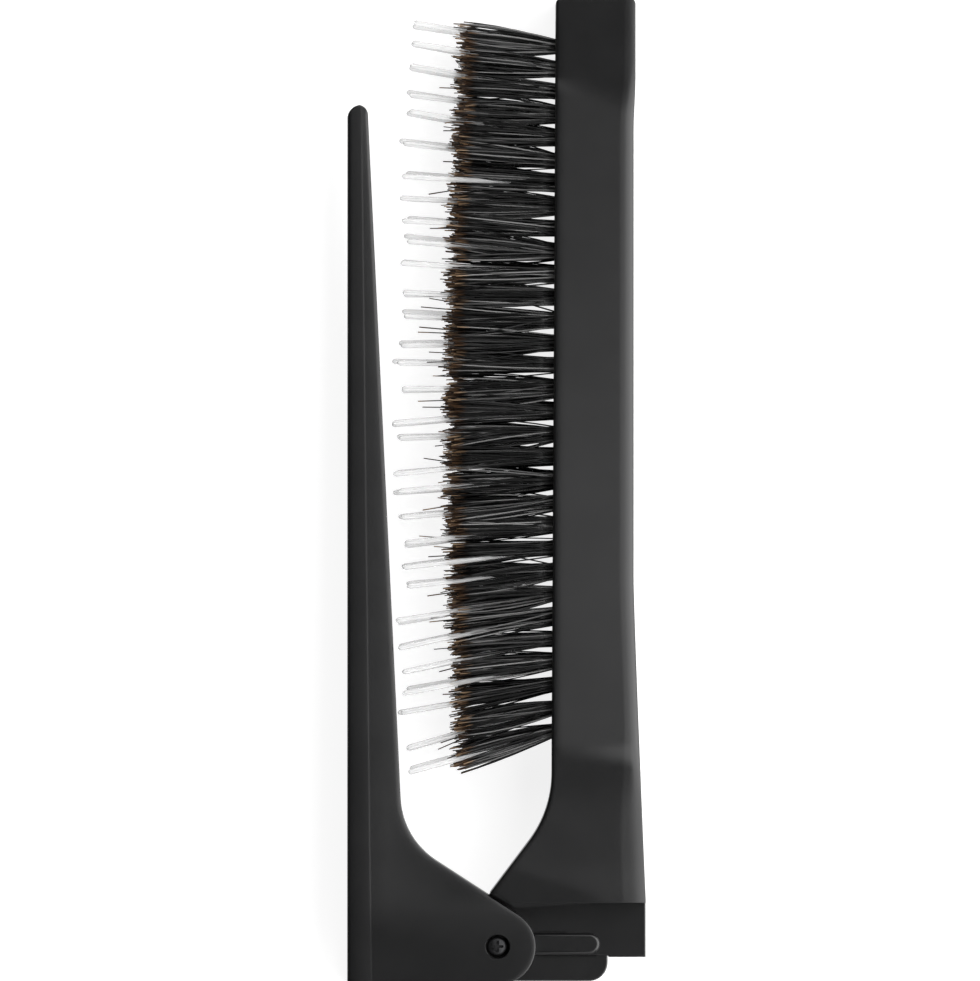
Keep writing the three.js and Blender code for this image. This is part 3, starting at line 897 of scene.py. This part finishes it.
def head_height(x, y):
    front = path_x(head_front, y)
    back = head_back_x(y)
    across = min(1, max(0, (x - front) / (back - front)))
    tip, middle = stretch_shares(y, across)
    height = HALF_DEPTH - middle_slope_drop(y) * middle * across
    height -= TIP_LEAN_DROP * tip * (1 - across)
    height -= neck_drop(x, y)
    height -= round_drop(path_distance(head_front, x, y), HEAD_FRONT_ROUND) + front_roll(x, y)
    height -= slope_drop(x - back + back_strip(y), BACK_STRIP_SLOPE, BACK_STRIP_BLEND)
    height -= round_drop(back - x, BACK_ROUND) + back_roll(x, y)
    height -= round_drop(HEAD_TOP_Y - y, HEAD_END_ROUND)
    height -= round_drop(y - STEP_Y, STEP_EDGE_ROUND)
    return height


def head_rows():
    """The head's grid, close where the shape changes: at the neck, the tip and the edges."""
    heights = row_heights(HEAD_ROWS)
    heights += [STEP_Y + inset for inset in edge_insets(STEP_EDGE_ROUND, 3)]
    for end_round in (HEAD_CORNER_ROUND, HEAD_END_ROUND):
        heights += [HEAD_TOP_Y - inset for inset in edge_insets(end_round, 6)]
    front_lines = edge_insets(HEAD_FRONT_ROUND, 6)
    front_lines += roll_insets(HEAD_FRONT_ROUND, FRONT_ROLL, (0.25, 0.5, 0.75, 1))
    rows = []
    for y in sorted({round(height, 4) for height in heights}):
        stretch = row_stretch(head_front, y, 0.05, 2.6)
        front_insets = [stretch * inset for inset in front_lines]
        back_insets = edge_insets(BACK_ROUND, 7)
        back_insets += roll_insets(BACK_ROUND, back_strip(y) + 0.1, [i / 12 for i in range(1, 13)])
        end_inset = round_drop(HEAD_TOP_Y - y, HEAD_CORNER_ROUND)
        left = path_x(head_front, y) + end_inset
        right = head_back_x(y) - end_inset
        rows.append((y, row_xs(left, right, front_insets, back_insets, 14)))
    return rows


def along_ear_slope(reach, span):
    """A rectangle that lies along the slope of the tail's ear."""
    out = Vector((math.cos(EAR_SLOPE), math.sin(EAR_SLOPE)))
    up = Vector((-out.y, out.x))
    corners = ((reach[0], span[0]), (reach[1], span[0]), (reach[1], span[1]), (reach[0], span[1]))
    return [tuple(out * a + up * b) for a, b in corners]


def tongue_plates():
    """The thin end that turns in the tail's slot. Its lower lobe is a little thinner."""
    root = STEP_Y + TONGUE_ROOT_OVERLAP
    right = REACH - TONGUE_BACK_INSET
    inner = REACH - TONGUE_ROOT_OVERLAP
    upper = [(TONGUE_ROOT_X, root), *arc((0, 0), TONGUE_RADIUS, *TONGUE_ARC, 44), (NOTCH_X, TONGUE_LOW_Y)]
    upper += [(NOTCH_X + NOTCH_BEVEL, NOTCH_Y), (right, NOTCH_Y), (right, STEP_Y + 1)]
    upper += [(inner, STEP_Y + 1), (inner, root)]
    corner = (NOTCH_X - TONGUE_CORNER_ROUND, TONGUE_CORNER_ROUND - TONGUE_DROP)
    lobe = [*arc((0, 0), TONGUE_DROP, 110, 270, 30), *arc(corner, TONGUE_CORNER_ROUND, -90, 0, 12)]
    rib_half = RIB_WIDTH / 2
    rib = [(RIB_START_X, RIB_CENTRE_Y - rib_half)]
    rib += arc((RIB_END_X - rib_half, RIB_CENTRE_Y), rib_half, -90, 90, 24)
    rib += [(RIB_START_X, RIB_CENTRE_Y + rib_half)]
    lobe_half = TONGUE_HALF - LOBE_DROP
    rib_face = TONGUE_HALF + RIB_HEIGHT
    return [
        plate("tongue", upper, -TONGUE_HALF, TONGUE_HALF, TONGUE_EDGE_ROUND),
        plate("neck_web", along_ear_slope(WEB_REACH, WEB_SPAN), -WEB_HALF, WEB_HALF),
        plate("neck_lip", LIP, LIP_GAP - HALF_DEPTH, HALF_DEPTH - LIP_GAP),
        plate("tongue_lobe", [*lobe, *LOBE_INNER], -lobe_half, lobe_half, TONGUE_EDGE_ROUND),
        plate("tongue_rib", rib, -rib_face, rib_face, RIB_EDGE_ROUND),
    ]


def head_cutters():
    """The base's pocket, the bushing's bore and the fine grooves beside the rib."""
    end = BED_END_Y + SEAT_GAP
    pocket = box("pocket", (-3, POCKET_DEPTH), (-end, end), (-POCKET_HALF, POCKET_HALF), FACE)
    cutters = [pocket, lathe("bore", [(BUSHING_BORE, -CUT_REACH), (BUSHING_BORE, CUT_REACH)])]
    for face, (xs, ys) in ((TONGUE_HALF - LOBE_DROP, LOWER_GROOVE), (TONGUE_HALF, UPPER_GROOVE)):
        floor = face - GROOVE_DEPTH
        cutters += [box("groove", xs, ys, zs) for zs in ((floor, CUT_REACH), (-CUT_REACH, -floor))]
    return cutters


def make_head():
    head = slab("brush_head", head_rows(), head_height)
    combine(head, "UNION", *tongue_plates())
    combine(head, "DIFFERENCE", *head_cutters())
    finish_surface(head, black_plastic)
    place(head, "head", "black_plastic", "head_body")


# Tail moulding

def tail_inner_path():
    """The tail's edge towards the bristles, its flare and the round ear."""
    tip = (TAIL_TIP_WIDTH - REACH, TAIL_TOP_Y)
    bend_x = TAIL_ROOT_WIDTH - REACH
    bend_y = (EAR_RADIUS - bend_x * math.cos(EAR_SLOPE)) / math.sin(EAR_SLOPE)
    lobe = arc((0, 0), EAR_RADIUS, math.degrees(EAR_SLOPE), -90, 60)
    return [tip, *round_corner(tip, (bend_x, bend_y), lobe[0], TAIL_FLARE_ROUND, 24), *lobe]


tail_inner = tail_inner_path()


def tail_back_x(y):
    return round_drop(TAIL_TOP_Y - y, TAIL_TIP_BACK_ROUND) - TAIL_REACH


def tail_inner_x(y):
    return path_x(tail_inner, y) - round_drop(TAIL_TOP_Y - y, TAIL_TIP_INNER_ROUND)


def tail_crease(y):
    """How far the tail's rounded back reaches in, to the crease along its side."""
    return blend(TAIL_CREASE_ROOT, TAIL_CREASE_TIP, (y - tail_low.y) / (TAIL_TOP_Y - tail_low.y))


def tail_side_drop(side):
    """How far the side has sloped down past the crease. The slope fades out over the flare."""
    near = min(TAIL_SIDE_REACH, side)
    steepest = TAIL_SIDE_SLOPE + 2 * TAIL_SIDE_CURVE * TAIL_SIDE_REACH
    faded = TAIL_SIDE_FADE * (1 - math.exp((near - side) / TAIL_SIDE_FADE))
    return TAIL_SIDE_SLOPE * near + TAIL_SIDE_CURVE * near * near + steepest * faded


def tail_height(x, y):
    share = min(1, max(0, (y - TAIL_TAPER_Y) / (TAIL_TOP_Y - TAIL_TAPER_Y)))
    height = blend(HALF_DEPTH, TAIL_TIP_HALF, share)
    if y < TAIL_TAPER_Y:
        height -= EAR_BARREL * ((TAIL_TAPER_Y - y) / (TAIL_TAPER_Y - tail_low.y)) ** 2
    inset = x + TAIL_REACH
    side = inset - tail_crease(y)
    height -= TAIL_BACK_CURVE * (min(0, side) + TAIL_BACK_RIDGE) ** 2
    height -= TAIL_CREASE_STEP * smooth_share(side, 0, TAIL_CREASE_WIDTH)
    height -= tail_side_drop(max(0, side)) * smooth_share(y, *TAIL_SIDE_LOW_Y)
    height -= round_drop(inset, TAIL_BACK_ROUND)
    inner = path_distance(tail_inner, x, y)
    height -= round_drop(inner, TAIL_EDGE_ROUND) + roll_drop(inner, TAIL_EDGE_ROLL, TAIL_EDGE_ROLL_DROP)
    height -= round_drop(y - tail_low.y, TAIL_EDGE_ROUND)
    height -= round_drop(TAIL_TOP_Y - y, TAIL_TIP_END_ROUND)
    return max(TAIL_LEAST_HALF, height)


def tail_rows():
    """The tail's grid, close at the ear, the flare, the tip, the crease and the edges."""
    heights = row_heights(TAIL_ROWS)
    heights += [tail_low.y + inset for inset in edge_insets(TAIL_EDGE_ROUND, 6)]
    heights += [TAIL_TOP_Y - max(0.003, inset) for inset in edge_insets(TAIL_TIP_BACK_ROUND, 16)]
    inner_lines = edge_insets(TAIL_EDGE_ROUND, 5)
    inner_lines += roll_insets(TAIL_EDGE_ROUND, TAIL_EDGE_ROLL, (0.33, 0.67, 1))
    rows = []
    for y in sorted({round(height, 4) for height in heights}):
        left = tail_back_x(y)
        right = tail_inner_x(y)
        crease = tail_crease(y)
        back_insets = edge_insets(TAIL_BACK_ROUND, 7)
        back_insets += roll_insets(TAIL_BACK_ROUND, crease, (0.25, 0.5, 0.75, 1))
        back_insets += [crease + TAIL_CREASE_WIDTH * share for share in (0.25, 0.5, 0.75, 1, 1.5)]
        stretch = row_stretch(tail_inner, y, 0.02, 3)
        inner_insets = [stretch * inset for inset in inner_lines]
        fit = min(1, TAIL_GRID_FIT * (right - left) / max(back_insets[-1], inner_insets[-1]))
        back_insets = [fit * inset for inset in back_insets]
        inner_insets = [fit * inset for inset in inner_insets]
        rows.append((y, row_xs(left, right, back_insets, inner_insets, 16)))
    return rows


def hexagon(flat_radius):
    return arc((0, 0), flat_radius / math.cos(math.pi / 6), 30, 330, 5)


def tail_cutters():
    """The tongue's slot, the web's notch, the screw's hole and recess, and the nut's pocket."""
    web_x = -NOTCH_X - SLOT_GAP
    far = REACH + 2
    roof = TONGUE_DROP + SLOT_GAP
    slot = [(web_x, roof), (web_x, SLOT_GAP - NOTCH_Y), (-far, SLOT_GAP - NOTCH_Y), (-far, -far)]
    slot += [(far, -far), (far, roof)]
    notch_span = (WEB_SPAN[0] - WEB_GAP, WEB_SPAN[1] + WEB_GAP)
    notch = along_ear_slope((WEB_REACH[0] - WEB_GAP, CUT_REACH), notch_span)
    notch_half = WEB_HALF + WEB_GAP
    rim = HALF_DEPTH - EAR_BARREL + RECESS_RIM
    wide = SCREW_RECESS_RADIUS + RECESS_CHAMFER
    recess = [(SCREW_RECESS_RADIUS, SCREW_SEAT), (SCREW_RECESS_RADIUS, rim - RECESS_CHAMFER)]
    return [
        plate("slot", slot, -EAR_FACE, EAR_FACE),
        plate("web_notch", notch, -notch_half, notch_half),
        lathe("shank_hole", [(SHANK_HOLE, -CUT_REACH), (SHANK_HOLE, CUT_REACH)]),
        lathe("screw_recess", [*recess, (wide, rim), (wide, CUT_REACH)]),
        plate("nut_pocket", hexagon(NUT_FLAT_RADIUS + SEAT_GAP), -CUT_REACH, -NUT_SEAT),
    ]


def make_tail():
    tail = slab("pick_tail", tail_rows(), tail_height)
    combine(tail, "DIFFERENCE", *tail_cutters())
    finish_surface(tail, black_plastic)
    place(tail, "tail", "black_plastic", "tail_handle")


# Hinge hardware

def make_screw():
    """A small domed cross-head screw with a plain shank."""
    head_low = SCREW_TOP - SCREW_HEAD_HEIGHT
    dome_low = SCREW_TOP - SCREW_DOME
    profile = [(SCREW_RADIUS - SCREW_POINT, -SCREW_TOP), (SCREW_RADIUS, SCREW_POINT - SCREW_TOP)]
    profile += [(SCREW_RADIUS, head_low), (SCREW_HEAD_RADIUS, head_low), (SCREW_HEAD_RADIUS, dome_low)]
    for i in range(1, 8):
        rise = math.pi / 2 * i / 8
        profile.append((SCREW_HEAD_RADIUS * math.cos(rise), dome_low + SCREW_DOME * math.sin(rise)))
    screw = lathe("hinge_screw", [*profile, (0.02, SCREW_TOP)])
    cross_zs = (SCREW_TOP - CROSS_DEPTH, SCREW_TOP + 1)
    for x, y in ((CROSS_REACH, CROSS_HALF), (CROSS_HALF, CROSS_REACH)):
        combine(screw, "DIFFERENCE", box("cross", (-x, x), (-y, y), cross_zs))
    finish_surface(screw, screw_steel)
    place(screw, "tail", "screw_steel", "pivot_screw")


def make_nut():
    """A chamfered hexagonal nut with a countersunk thread."""
    low = -SCREW_TOP
    high = low + NUT_HEIGHT
    across = NUT_FLAT_RADIUS / math.cos(math.pi / 6)
    nut = lathe("hinge_nut", [(across - NUT_CHAMFER, low), (across, low + NUT_CHAMFER), (across, high)], 72)
    combine(nut, "INTERSECT", plate("nut_sides", hexagon(NUT_FLAT_RADIUS), low - 1, high + 1))
    wide = SHANK_HOLE + NUT_COUNTERSINK
    bore = [(wide, low - 1), (wide, low), (SHANK_HOLE, low + NUT_COUNTERSINK), (SHANK_HOLE, high + 1)]
    combine(nut, "DIFFERENCE", lathe("nut_bore", bore))
    finish_surface(nut, screw_steel, 25)
    place(nut, "tail", "screw_steel", "pivot_nut")


def dress_hidden_hardware():
    """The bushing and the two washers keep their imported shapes."""
    finishes = (
        ("pivot_bushing", bushing_brass),
        ("washer_front", washer_plastic),
        ("washer_rear", washer_plastic),
    )
    for name, material in finishes:
        for material_slot in frame["nodes"][name].material_slots:
            material_slot.material = material


make_head()
make_tail()
make_screw()
make_nut()
dress_hidden_hardware()


# Bristle base

BED_TILE_Z = (1.2, 2.85, 5.35)
TUFT_HOLE_RADIUS = 1.02
PIN_HOLE_RADIUS = 0.56
HOLE_CHAMFER = 0.12
HOLE_DEPTH = 1.4
HOLE_SIDES = 12
BED_EDGE = 0.15
ON_EDGE = 0.01


def tile_outline(low_y, high_y, low_z, high_z):
    """As many points round a tile as a hole has sides, counterclockwise in y and z."""
    steps = HOLE_SIDES // 4
    points = []
    corners = [(low_y, low_z), (high_y, low_z), (high_y, high_z), (low_y, high_z)]
    for (y0, z0), (y1, z1) in zip(corners, corners[1:] + corners[:1]):
        points += [(blend(y0, y1, i / steps), blend(z0, z1, i / steps)) for i in range(steps)]
    return points


def make_bristle_bed():
    """The tray in the head's pocket, with a countersunk hole for each tuft and pin."""
    end = BED_END_Y - BED_EDGE
    side = BED_HALF - BED_EDGE
    field = TUFT_COLUMNS * TUFT_PITCH / 2
    edges_y = [-end] + [TUFT_PITCH * i - field for i in range(TUFT_COLUMNS + 1)] + [end]
    inner, middle, outer = BED_TILE_Z
    edges_z = [-side, -outer, -middle, -inner, inner, middle, outer, side]
    holes = {
        1: (-TUFT_ROW_Z, TUFT_HOLE_RADIUS),
        2: (-PIN_ROW_Z, PIN_HOLE_RADIUS),
        3: (0, TUFT_HOLE_RADIUS),
        4: (PIN_ROW_Z, PIN_HOLE_RADIUS),
        5: (TUFT_ROW_Z, TUFT_HOLE_RADIUS),
    }
    bm = bmesh.new()

    def ring(points, depth):
        return [bm.verts.new(to_frame(FACE @ Vector((depth, y, z)))) for y, z in points]

    for column in range(TUFT_COLUMNS + 2):
        for row in range(len(edges_z) - 1):
            rim = ring(tile_outline(*edges_y[column:column + 2], *edges_z[row:row + 2]), 0)
            if row in holes and 0 < column <= TUFT_COLUMNS:
                z, radius = holes[row]
                centre = ((edges_y[column] + edges_y[column + 1]) / 2, z)
                levels = ((radius + HOLE_CHAMFER, 0), (radius, HOLE_CHAMFER), (radius, HOLE_DEPTH))
                for size, depth in levels:
                    inside = ring(arc(centre, size, -135, 225 - 360 / HOLE_SIDES, HOLE_SIDES - 1), depth)
                    for i in range(HOLE_SIDES):
                        j = (i + 1) % HOLE_SIDES
                        bm.faces.new((rim[i], rim[j], inside[j], inside[i]))
                    rim = inside
            bm.faces.new(rim)
    bmesh.ops.remove_doubles(bm, verts=bm.verts, dist=0.001 * MM)
    back = POCKET_DEPTH - SEAT_GAP
    for depth, grow_by in ((BED_EDGE, BED_EDGE), (back, 0)):
        open_edges = [edge for edge in bm.edges if edge.is_boundary]
        made = bmesh.ops.extrude_edge_only(bm, edges=open_edges)["geom"]
        for vert in (part for part in made if isinstance(part, bmesh.types.BMVert)):
            x, y, z = FACE.inverted() @ ((vert.co - PIN) / MM)
            y += math.copysign(grow_by, y) if abs(y) > end - ON_EDGE else 0
            z += math.copysign(grow_by, z) if abs(z) > side - ON_EDGE else 0
            vert.co = to_frame(FACE @ Vector((depth, y, z)))
    bmesh.ops.holes_fill(bm, edges=[edge for edge in bm.edges if edge.is_boundary], sides=0)
    bed = mesh_object("bristle_bed", bm)
    finish_surface(bed, base_plastic)
    place(bed, "head", "base_plastic", "bristle_base")


# Boar hair and nylon pins, grown in the bristle field's own frame in millimetres

HAIR_INPUTS = {
    "Columns": TUFT_COLUMNS,
    "Pitch": TUFT_PITCH,
    "Row Z": 0.0,
    "Row Lean": 0.0,
    "Hairs per Tuft": 56,
    "Tuft Radius": 0.98,
    "Widest Root": 1.55,
    "Tip Radius": 2.5,
    "Tuft Lean": 0.75,
    "Fan Share": 0.66,
    "Length": 18.1,
    "Crown": 2.0,
    "Length Scatter": 2.9,
    "Bend": 0.45,
    "Early Spread": 0.7,
    "Wander": 0.8,
    "Stray Share": 0.02,
    "Stray Reach": 3.4,
    "Stray Length": 5.0,
    "Hair Radius": 0.12,
    "Seed": 1,
    "Material": None,
}
PIN_INPUTS = {
    "Columns": TUFT_COLUMNS,
    "Pitch": TUFT_PITCH,
    "Row Z": PIN_ROW_Z,
    "Length": 24.7,
    "Crown": 1.7,
    "Length Scatter": 0.9,
    "Side Scatter": 1.1,
    "Lean": 4.6,
    "Bow": 1.4,
    "Pin Radius": 0.43,
    "Seed": 7,
    "Material": None,
}
ROOT_DEPTH = 0.9
BOW_SHARE = 0.8
ALL_ROWS_SEED = 5
CLUMPS = 7.0
CLUMP_SHARE = 0.5
TUFT_LENGTH_CHANGE = (0.4, 0.8)
MISSING_POWER = 0.4
FURTHER_POWER = 2.0
OUTER_SHORTENING = 0.5
OUTER_POWER = 3.0
ROOT_NARROWEST = 0.9
EARLY_SPREAD_SHARES = (-0.4, 1.5)
DEPTH_SPREAD = 1.6
DEPTH_WANDER = 0.4
END_TUFT_POWER = 12.0
END_TUFT_PULL = 0.35
END_TUFT_SAG = 1.1
HAIR_TIP_SHARE = 0.72
HAIR_THICKNESS = (0.85, 1.15)
HAIR_POINTS = 6
HAIR_POINT_CROWDING = 1.15
HAIR_SIDES = 4
PIN_POINTS = 14
PIN_POINT_CROWDING = 2.2
PIN_SIDES = 12
PIN_OWN_SCATTER = 0.5
PIN_OWN_BEND = (0.25, 0.1)
PIN_LEAN_POWER = 1.25
PIN_POLE_SHARE = 0.02


def chance(tree, seed, offset, low, high, tied_to=None):
    """A random number for each point, or the same one for points that share a number. Each
    draw has an offset of its own."""
    values = {"Min_001": low, "Max_001": high, "Seed": seed + offset}
    if tied_to is not None:
        values["ID"] = tied_to
    return result(tree, "FunctionNodeRandomValue", values, "Value_001")


def keep_value(geometry, name, value, kind="FLOAT"):
    values = {"Geometry": geometry, "Name": name, "Value": value}
    return result(geometry.tree, "GeometryNodeStoreNamedAttribute", values, data_type=kind)


def kept_value(tree, name, kind="FLOAT"):
    return result(tree, "GeometryNodeInputNamedAttribute", {"Name": name}, data_type=kind)


def column_points(tree, given, copies):
    """A point for each copy of each tuft column, with its column number kept, and its copy
    number."""
    start = vector(tree, y=(given["Columns"] - 1.0) * given["Pitch"] * -0.5)
    values = {"Count": given["Columns"], "Start Location": start, "Offset": vector(tree, y=given["Pitch"])}
    line = result(tree, "GeometryNodeMeshLine", values)
    points = result(tree, "GeometryNodeMeshToPoints", {"Mesh": line})
    points = keep_value(points, "column", result(tree, "GeometryNodeInputIndex"))
    values = {"Geometry": points, "Amount": copies}
    copied = results(node(tree, "GeometryNodeDuplicateElements", values, domain="POINT"))
    return copied["Geometry"], copied["Duplicate Index"]


def field_shape(tree, given):
    """Each column's number, its place along the face, the fan's slope there and how much the
    crown shortens its bristles."""
    column = kept_value(tree, "column")
    place_y = (column - (given["Columns"] - 1.0) * 0.5) * given["Pitch"]
    share = (place_y + (FIELD_MIDDLE_Y - FAN_CENTRE_Y)) / FAN_SPAN
    curl = abs(share) ** 3.0 * FAN_CURL * calc("SIGN", share)
    slope = calc("TANGENT", share * FAN_ANGLE + curl)
    crown = calc("SINE", (column + 0.5) / given["Columns"] * math.pi)
    return column, place_y, slope, (1.0 - crown) * given["Crown"]


def grown_curves(points, root, tip, bend, count, crowding):
    """A bowed curve from each point's root to its tip, with its own points crowded towards
    the tip, and how far along it they are."""
    tree = points.tree
    for name, value in (("root", root), ("tip", tip), ("bend", bend)):
        points = keep_value(points, name, value, "FLOAT_VECTOR")
    root, tip, bend = (kept_value(tree, name, "FLOAT_VECTOR") for name in ("root", "tip", "bend"))
    line = result(tree, "GeometryNodeCurvePrimitiveLine")
    grown = result(tree, "GeometryNodeInstanceOnPoints", {"Points": points, "Instance": line})
    grown = result(tree, "GeometryNodeRealizeInstances", {"Geometry": grown})
    grown = result(tree, "GeometryNodeResampleCurve", {"Curve": grown, "Count": count})
    factor = result(tree, "GeometryNodeSplineParameter")
    grown = keep_value(grown, "along", 1.0 - (1.0 - factor) ** crowding)
    along = kept_value(tree, "along")
    straight = calc_vector("SCALE", calc_vector("SUBTRACT", tip, root), along)
    bow = calc_vector("SCALE", bend, calc("SINE", along * (math.pi * BOW_SHARE)))
    position = calc_vector("ADD", calc_vector("ADD", root, straight), bow)
    return result(tree, "GeometryNodeSetPosition", {"Geometry": grown, "Position": position}), along


def end_tree(given, curves, sides, thickness):
    """Makes each curve a closed tube, moves it into the shared frame and gives it its material."""
    tree = curves.tree
    profile = result(tree, "GeometryNodeCurvePrimitiveCircle", {"Resolution": sides, "Radius": 1.0})
    values = {"Curve": curves, "Profile Curve": profile, "Scale": thickness, "Fill Caps": True}
    mesh = result(tree, "GeometryNodeCurveToMesh", values)
    mesh = result(tree, "GeometryNodeSetShadeSmooth", {"Geometry": mesh})
    location, rotation, scale = (Matrix.Translation(PIN) @ Matrix.Scale(MM, 4) @ FACE).decompose()
    values = {"Geometry": mesh, "Translation": location, "Rotation": rotation.to_euler(), "Scale": scale}
    mesh = result(tree, "GeometryNodeTransform", values)
    mesh = result(tree, "GeometryNodeRealizeInstances", {"Geometry": mesh})
    mesh = result(tree, "GeometryNodeSetMaterial", {"Geometry": mesh, "Material": given["Material"]})
    node(tree, "NodeGroupOutput", {"Geometry": mesh})


def growth_group(name, inputs):
    return new_group(name, "GeometryNodeTree", inputs, ["Geometry"], "NodeSocketGeometry")


def hair_tree():
    """A row of tufts. The hairs of a tuft part into clumps, and some of them stray."""
    tree, given = growth_group("boar_tufts", HAIR_INPUTS)
    seed = given["Seed"]
    points = column_points(tree, given, given["Hairs per Tuft"])[0]
    column, place_y, slope, shorter = field_shape(tree, given)
    turn = chance(tree, seed, 1, 0.0, 2 * math.pi)
    out = calc("SQRT", chance(tree, seed, 2, 0.0, 1.0))
    side_y = out * calc("COSINE", turn)
    side_z = out * calc("SINE", turn)
    clump = column * CLUMPS + calc("FLOOR", chance(tree, seed, 3, 0.0, CLUMPS))
    tip_y = blend(side_y, chance(tree, seed, 4, -1.0, 1.0, clump), CLUMP_SHARE)
    tip_z = blend(side_z, chance(tree, seed, 5, -1.0, 1.0, clump), CLUMP_SHARE)
    stray = calc("LESS_THAN", chance(tree, seed, 6, 0.0, 1.0), given["Stray Share"])

    missing = chance(tree, seed, 7, 0.0, 1.0) ** MISSING_POWER * given["Length Scatter"]
    further = stray * chance(tree, seed, 15, 0.0, 1.0) ** FURTHER_POWER * given["Stray Length"]
    length = given["Length"] - shorter - missing + further - out ** OUTER_POWER * OUTER_SHORTENING
    length = length + chance(tree, seed, 14, *TUFT_LENGTH_CHANGE, column)

    half_field = (given["Columns"] - 1.0) * given["Pitch"] * 0.5
    at_end = (abs(place_y) / half_field) ** END_TUFT_POWER
    inwards = 1.0 - at_end * END_TUFT_PULL
    widened = side_y * chance(tree, seed, 17, ROOT_NARROWEST, given["Widest Root"] * inwards, column)
    root_y = widened * given["Tuft Radius"] + place_y
    root_z = side_z * given["Tuft Radius"] + given["Row Z"]

    lean = given["Tuft Lean"] * inwards * chance(tree, ALL_ROWS_SEED, 13, -1.0, 1.0, column)
    wander = (stray * given["Stray Reach"] + given["Wander"]) * chance(tree, seed, 8, -1.0, 1.0)
    end_y = tip_y * given["Tip Radius"] + place_y - at_end * END_TUFT_SAG
    end_y = end_y + lean + length * slope * given["Fan Share"] + wander
    end_z = tip_z * DEPTH_SPREAD + given["Row Z"] + given["Row Lean"]
    end_z = end_z + chance(tree, seed, 9, -1.0, 1.0) * DEPTH_WANDER

    early = given["Early Spread"] * chance(tree, ALL_ROWS_SEED, 16, *EARLY_SPREAD_SHARES, column)
    bend_y = early * side_y * inwards + given["Bend"] * chance(tree, seed, 10, -1.0, 1.0)
    bend_z = given["Bend"] * chance(tree, seed, 11, -1.0, 1.0)

    points = keep_value(points, "tone", chance(tree, seed, 12, 0.0, 1.0))
    root = vector(tree, ROOT_DEPTH, root_y, root_z)
    tip = vector(tree, -length, end_y, end_z)
    bend = vector(tree, y=bend_y, z=bend_z)
    curves, along = grown_curves(points, root, tip, bend, HAIR_POINTS, HAIR_POINT_CROWDING)
    thickness = given["Hair Radius"] * blend(1.0, HAIR_TIP_SHARE, along)
    thickness = thickness * blend(*HAIR_THICKNESS, kept_value(tree, "tone"))
    end_tree(given, curves, HAIR_SIDES, thickness)
    return tree


def pin_tree():
    """A pin on each side of every column, with a rounded end, that leans and bows outwards."""
    tree, given = growth_group("nylon_pins", PIN_INPUTS)
    seed = given["Seed"]
    points, copy = column_points(tree, given, 2)
    points = keep_value(points, "side", copy * 2.0 - 1.0)
    column, place_y, slope, shorter = field_shape(tree, given)
    pair = [chance(tree, seed, i, -1.0, 1.0, column) for i in (1, 2)]
    alone = [chance(tree, seed, i, -1.0, 1.0) for i in (3, 4, 5, 6, 7)]
    length = given["Length"] - shorter + given["Length Scatter"] * pair[0] + alone[0] * PIN_OWN_SCATTER
    end_y = length * slope + place_y + given["Side Scatter"] * pair[1] + alone[1] * PIN_OWN_SCATTER
    side = kept_value(tree, "side")
    row_z = side * given["Row Z"]
    outward = side * abs(alone[2]) ** PIN_LEAN_POWER
    bend_y = alone[3] * PIN_OWN_BEND[0]
    bend_z = outward * given["Bow"] + alone[4] * PIN_OWN_BEND[1]
    points = keep_value(points, "length", length)
    root = vector(tree, ROOT_DEPTH, place_y, row_z)
    tip = vector(tree, -length, end_y, outward * given["Lean"] + row_z)
    bend = vector(tree, y=bend_y, z=bend_z)
    curves, along = grown_curves(points, root, tip, bend, PIN_POINTS, PIN_POINT_CROWDING)
    from_end = (1.0 - along) * kept_value(tree, "length")
    into_cap = calc("MAXIMUM", 1.0 - from_end / given["Pin Radius"], 0.0)
    cap = calc("MAXIMUM", 1.0 - into_cap * into_cap, PIN_POLE_SHARE)
    end_tree(given, curves, PIN_SIDES, given["Pin Radius"] * calc("SQRT", cap))
    return tree


def grow(name, tree, settings):
    """A plain mesh from a node tree, with the inputs that differ from the tree's own."""
    piece = bpy.data.objects.new(name, bpy.data.meshes.new(name))
    bpy.context.scene.collection.objects.link(piece)
    modifier = piece.modifiers.new(name, "NODES")
    modifier.node_group = tree
    for item in tree.interface.items_tree:
        if item.name in settings:
            modifier[item.identifier] = settings[item.name]
    settle(piece)
    kept = {"position", "along", "tone", "sharp_face", "material_index"}
    for attribute in [a.name for a in piece.data.attributes if not a.name.startswith(".")]:
        if attribute not in kept:
            piece.data.attributes.remove(piece.data.attributes[attribute])
    return piece


def make_bristles():
    tufts = hair_tree()
    rows = (
        ("front", TUFT_ROW_Z, 0.4, 11),
        ("middle", 0.0, 0.0, 23),
        ("rear", -TUFT_ROW_Z, -0.4, 37),
    )
    for name, row_z, lean, seed in rows:
        settings = {"Row Z": row_z, "Row Lean": lean, "Seed": seed, "Material": boar_hair}
        row = grow(f"boar_hair_{name}", tufts, settings)
        place(row, "head", "boar_hair", f"boar_row_{name}")
    pins = grow("nylon_pin_rows", pin_tree(), {"Material": clear_nylon})
    place(pins, "head", "clear_nylon", "nylon_pins")


make_bristle_bed()
make_bristles()
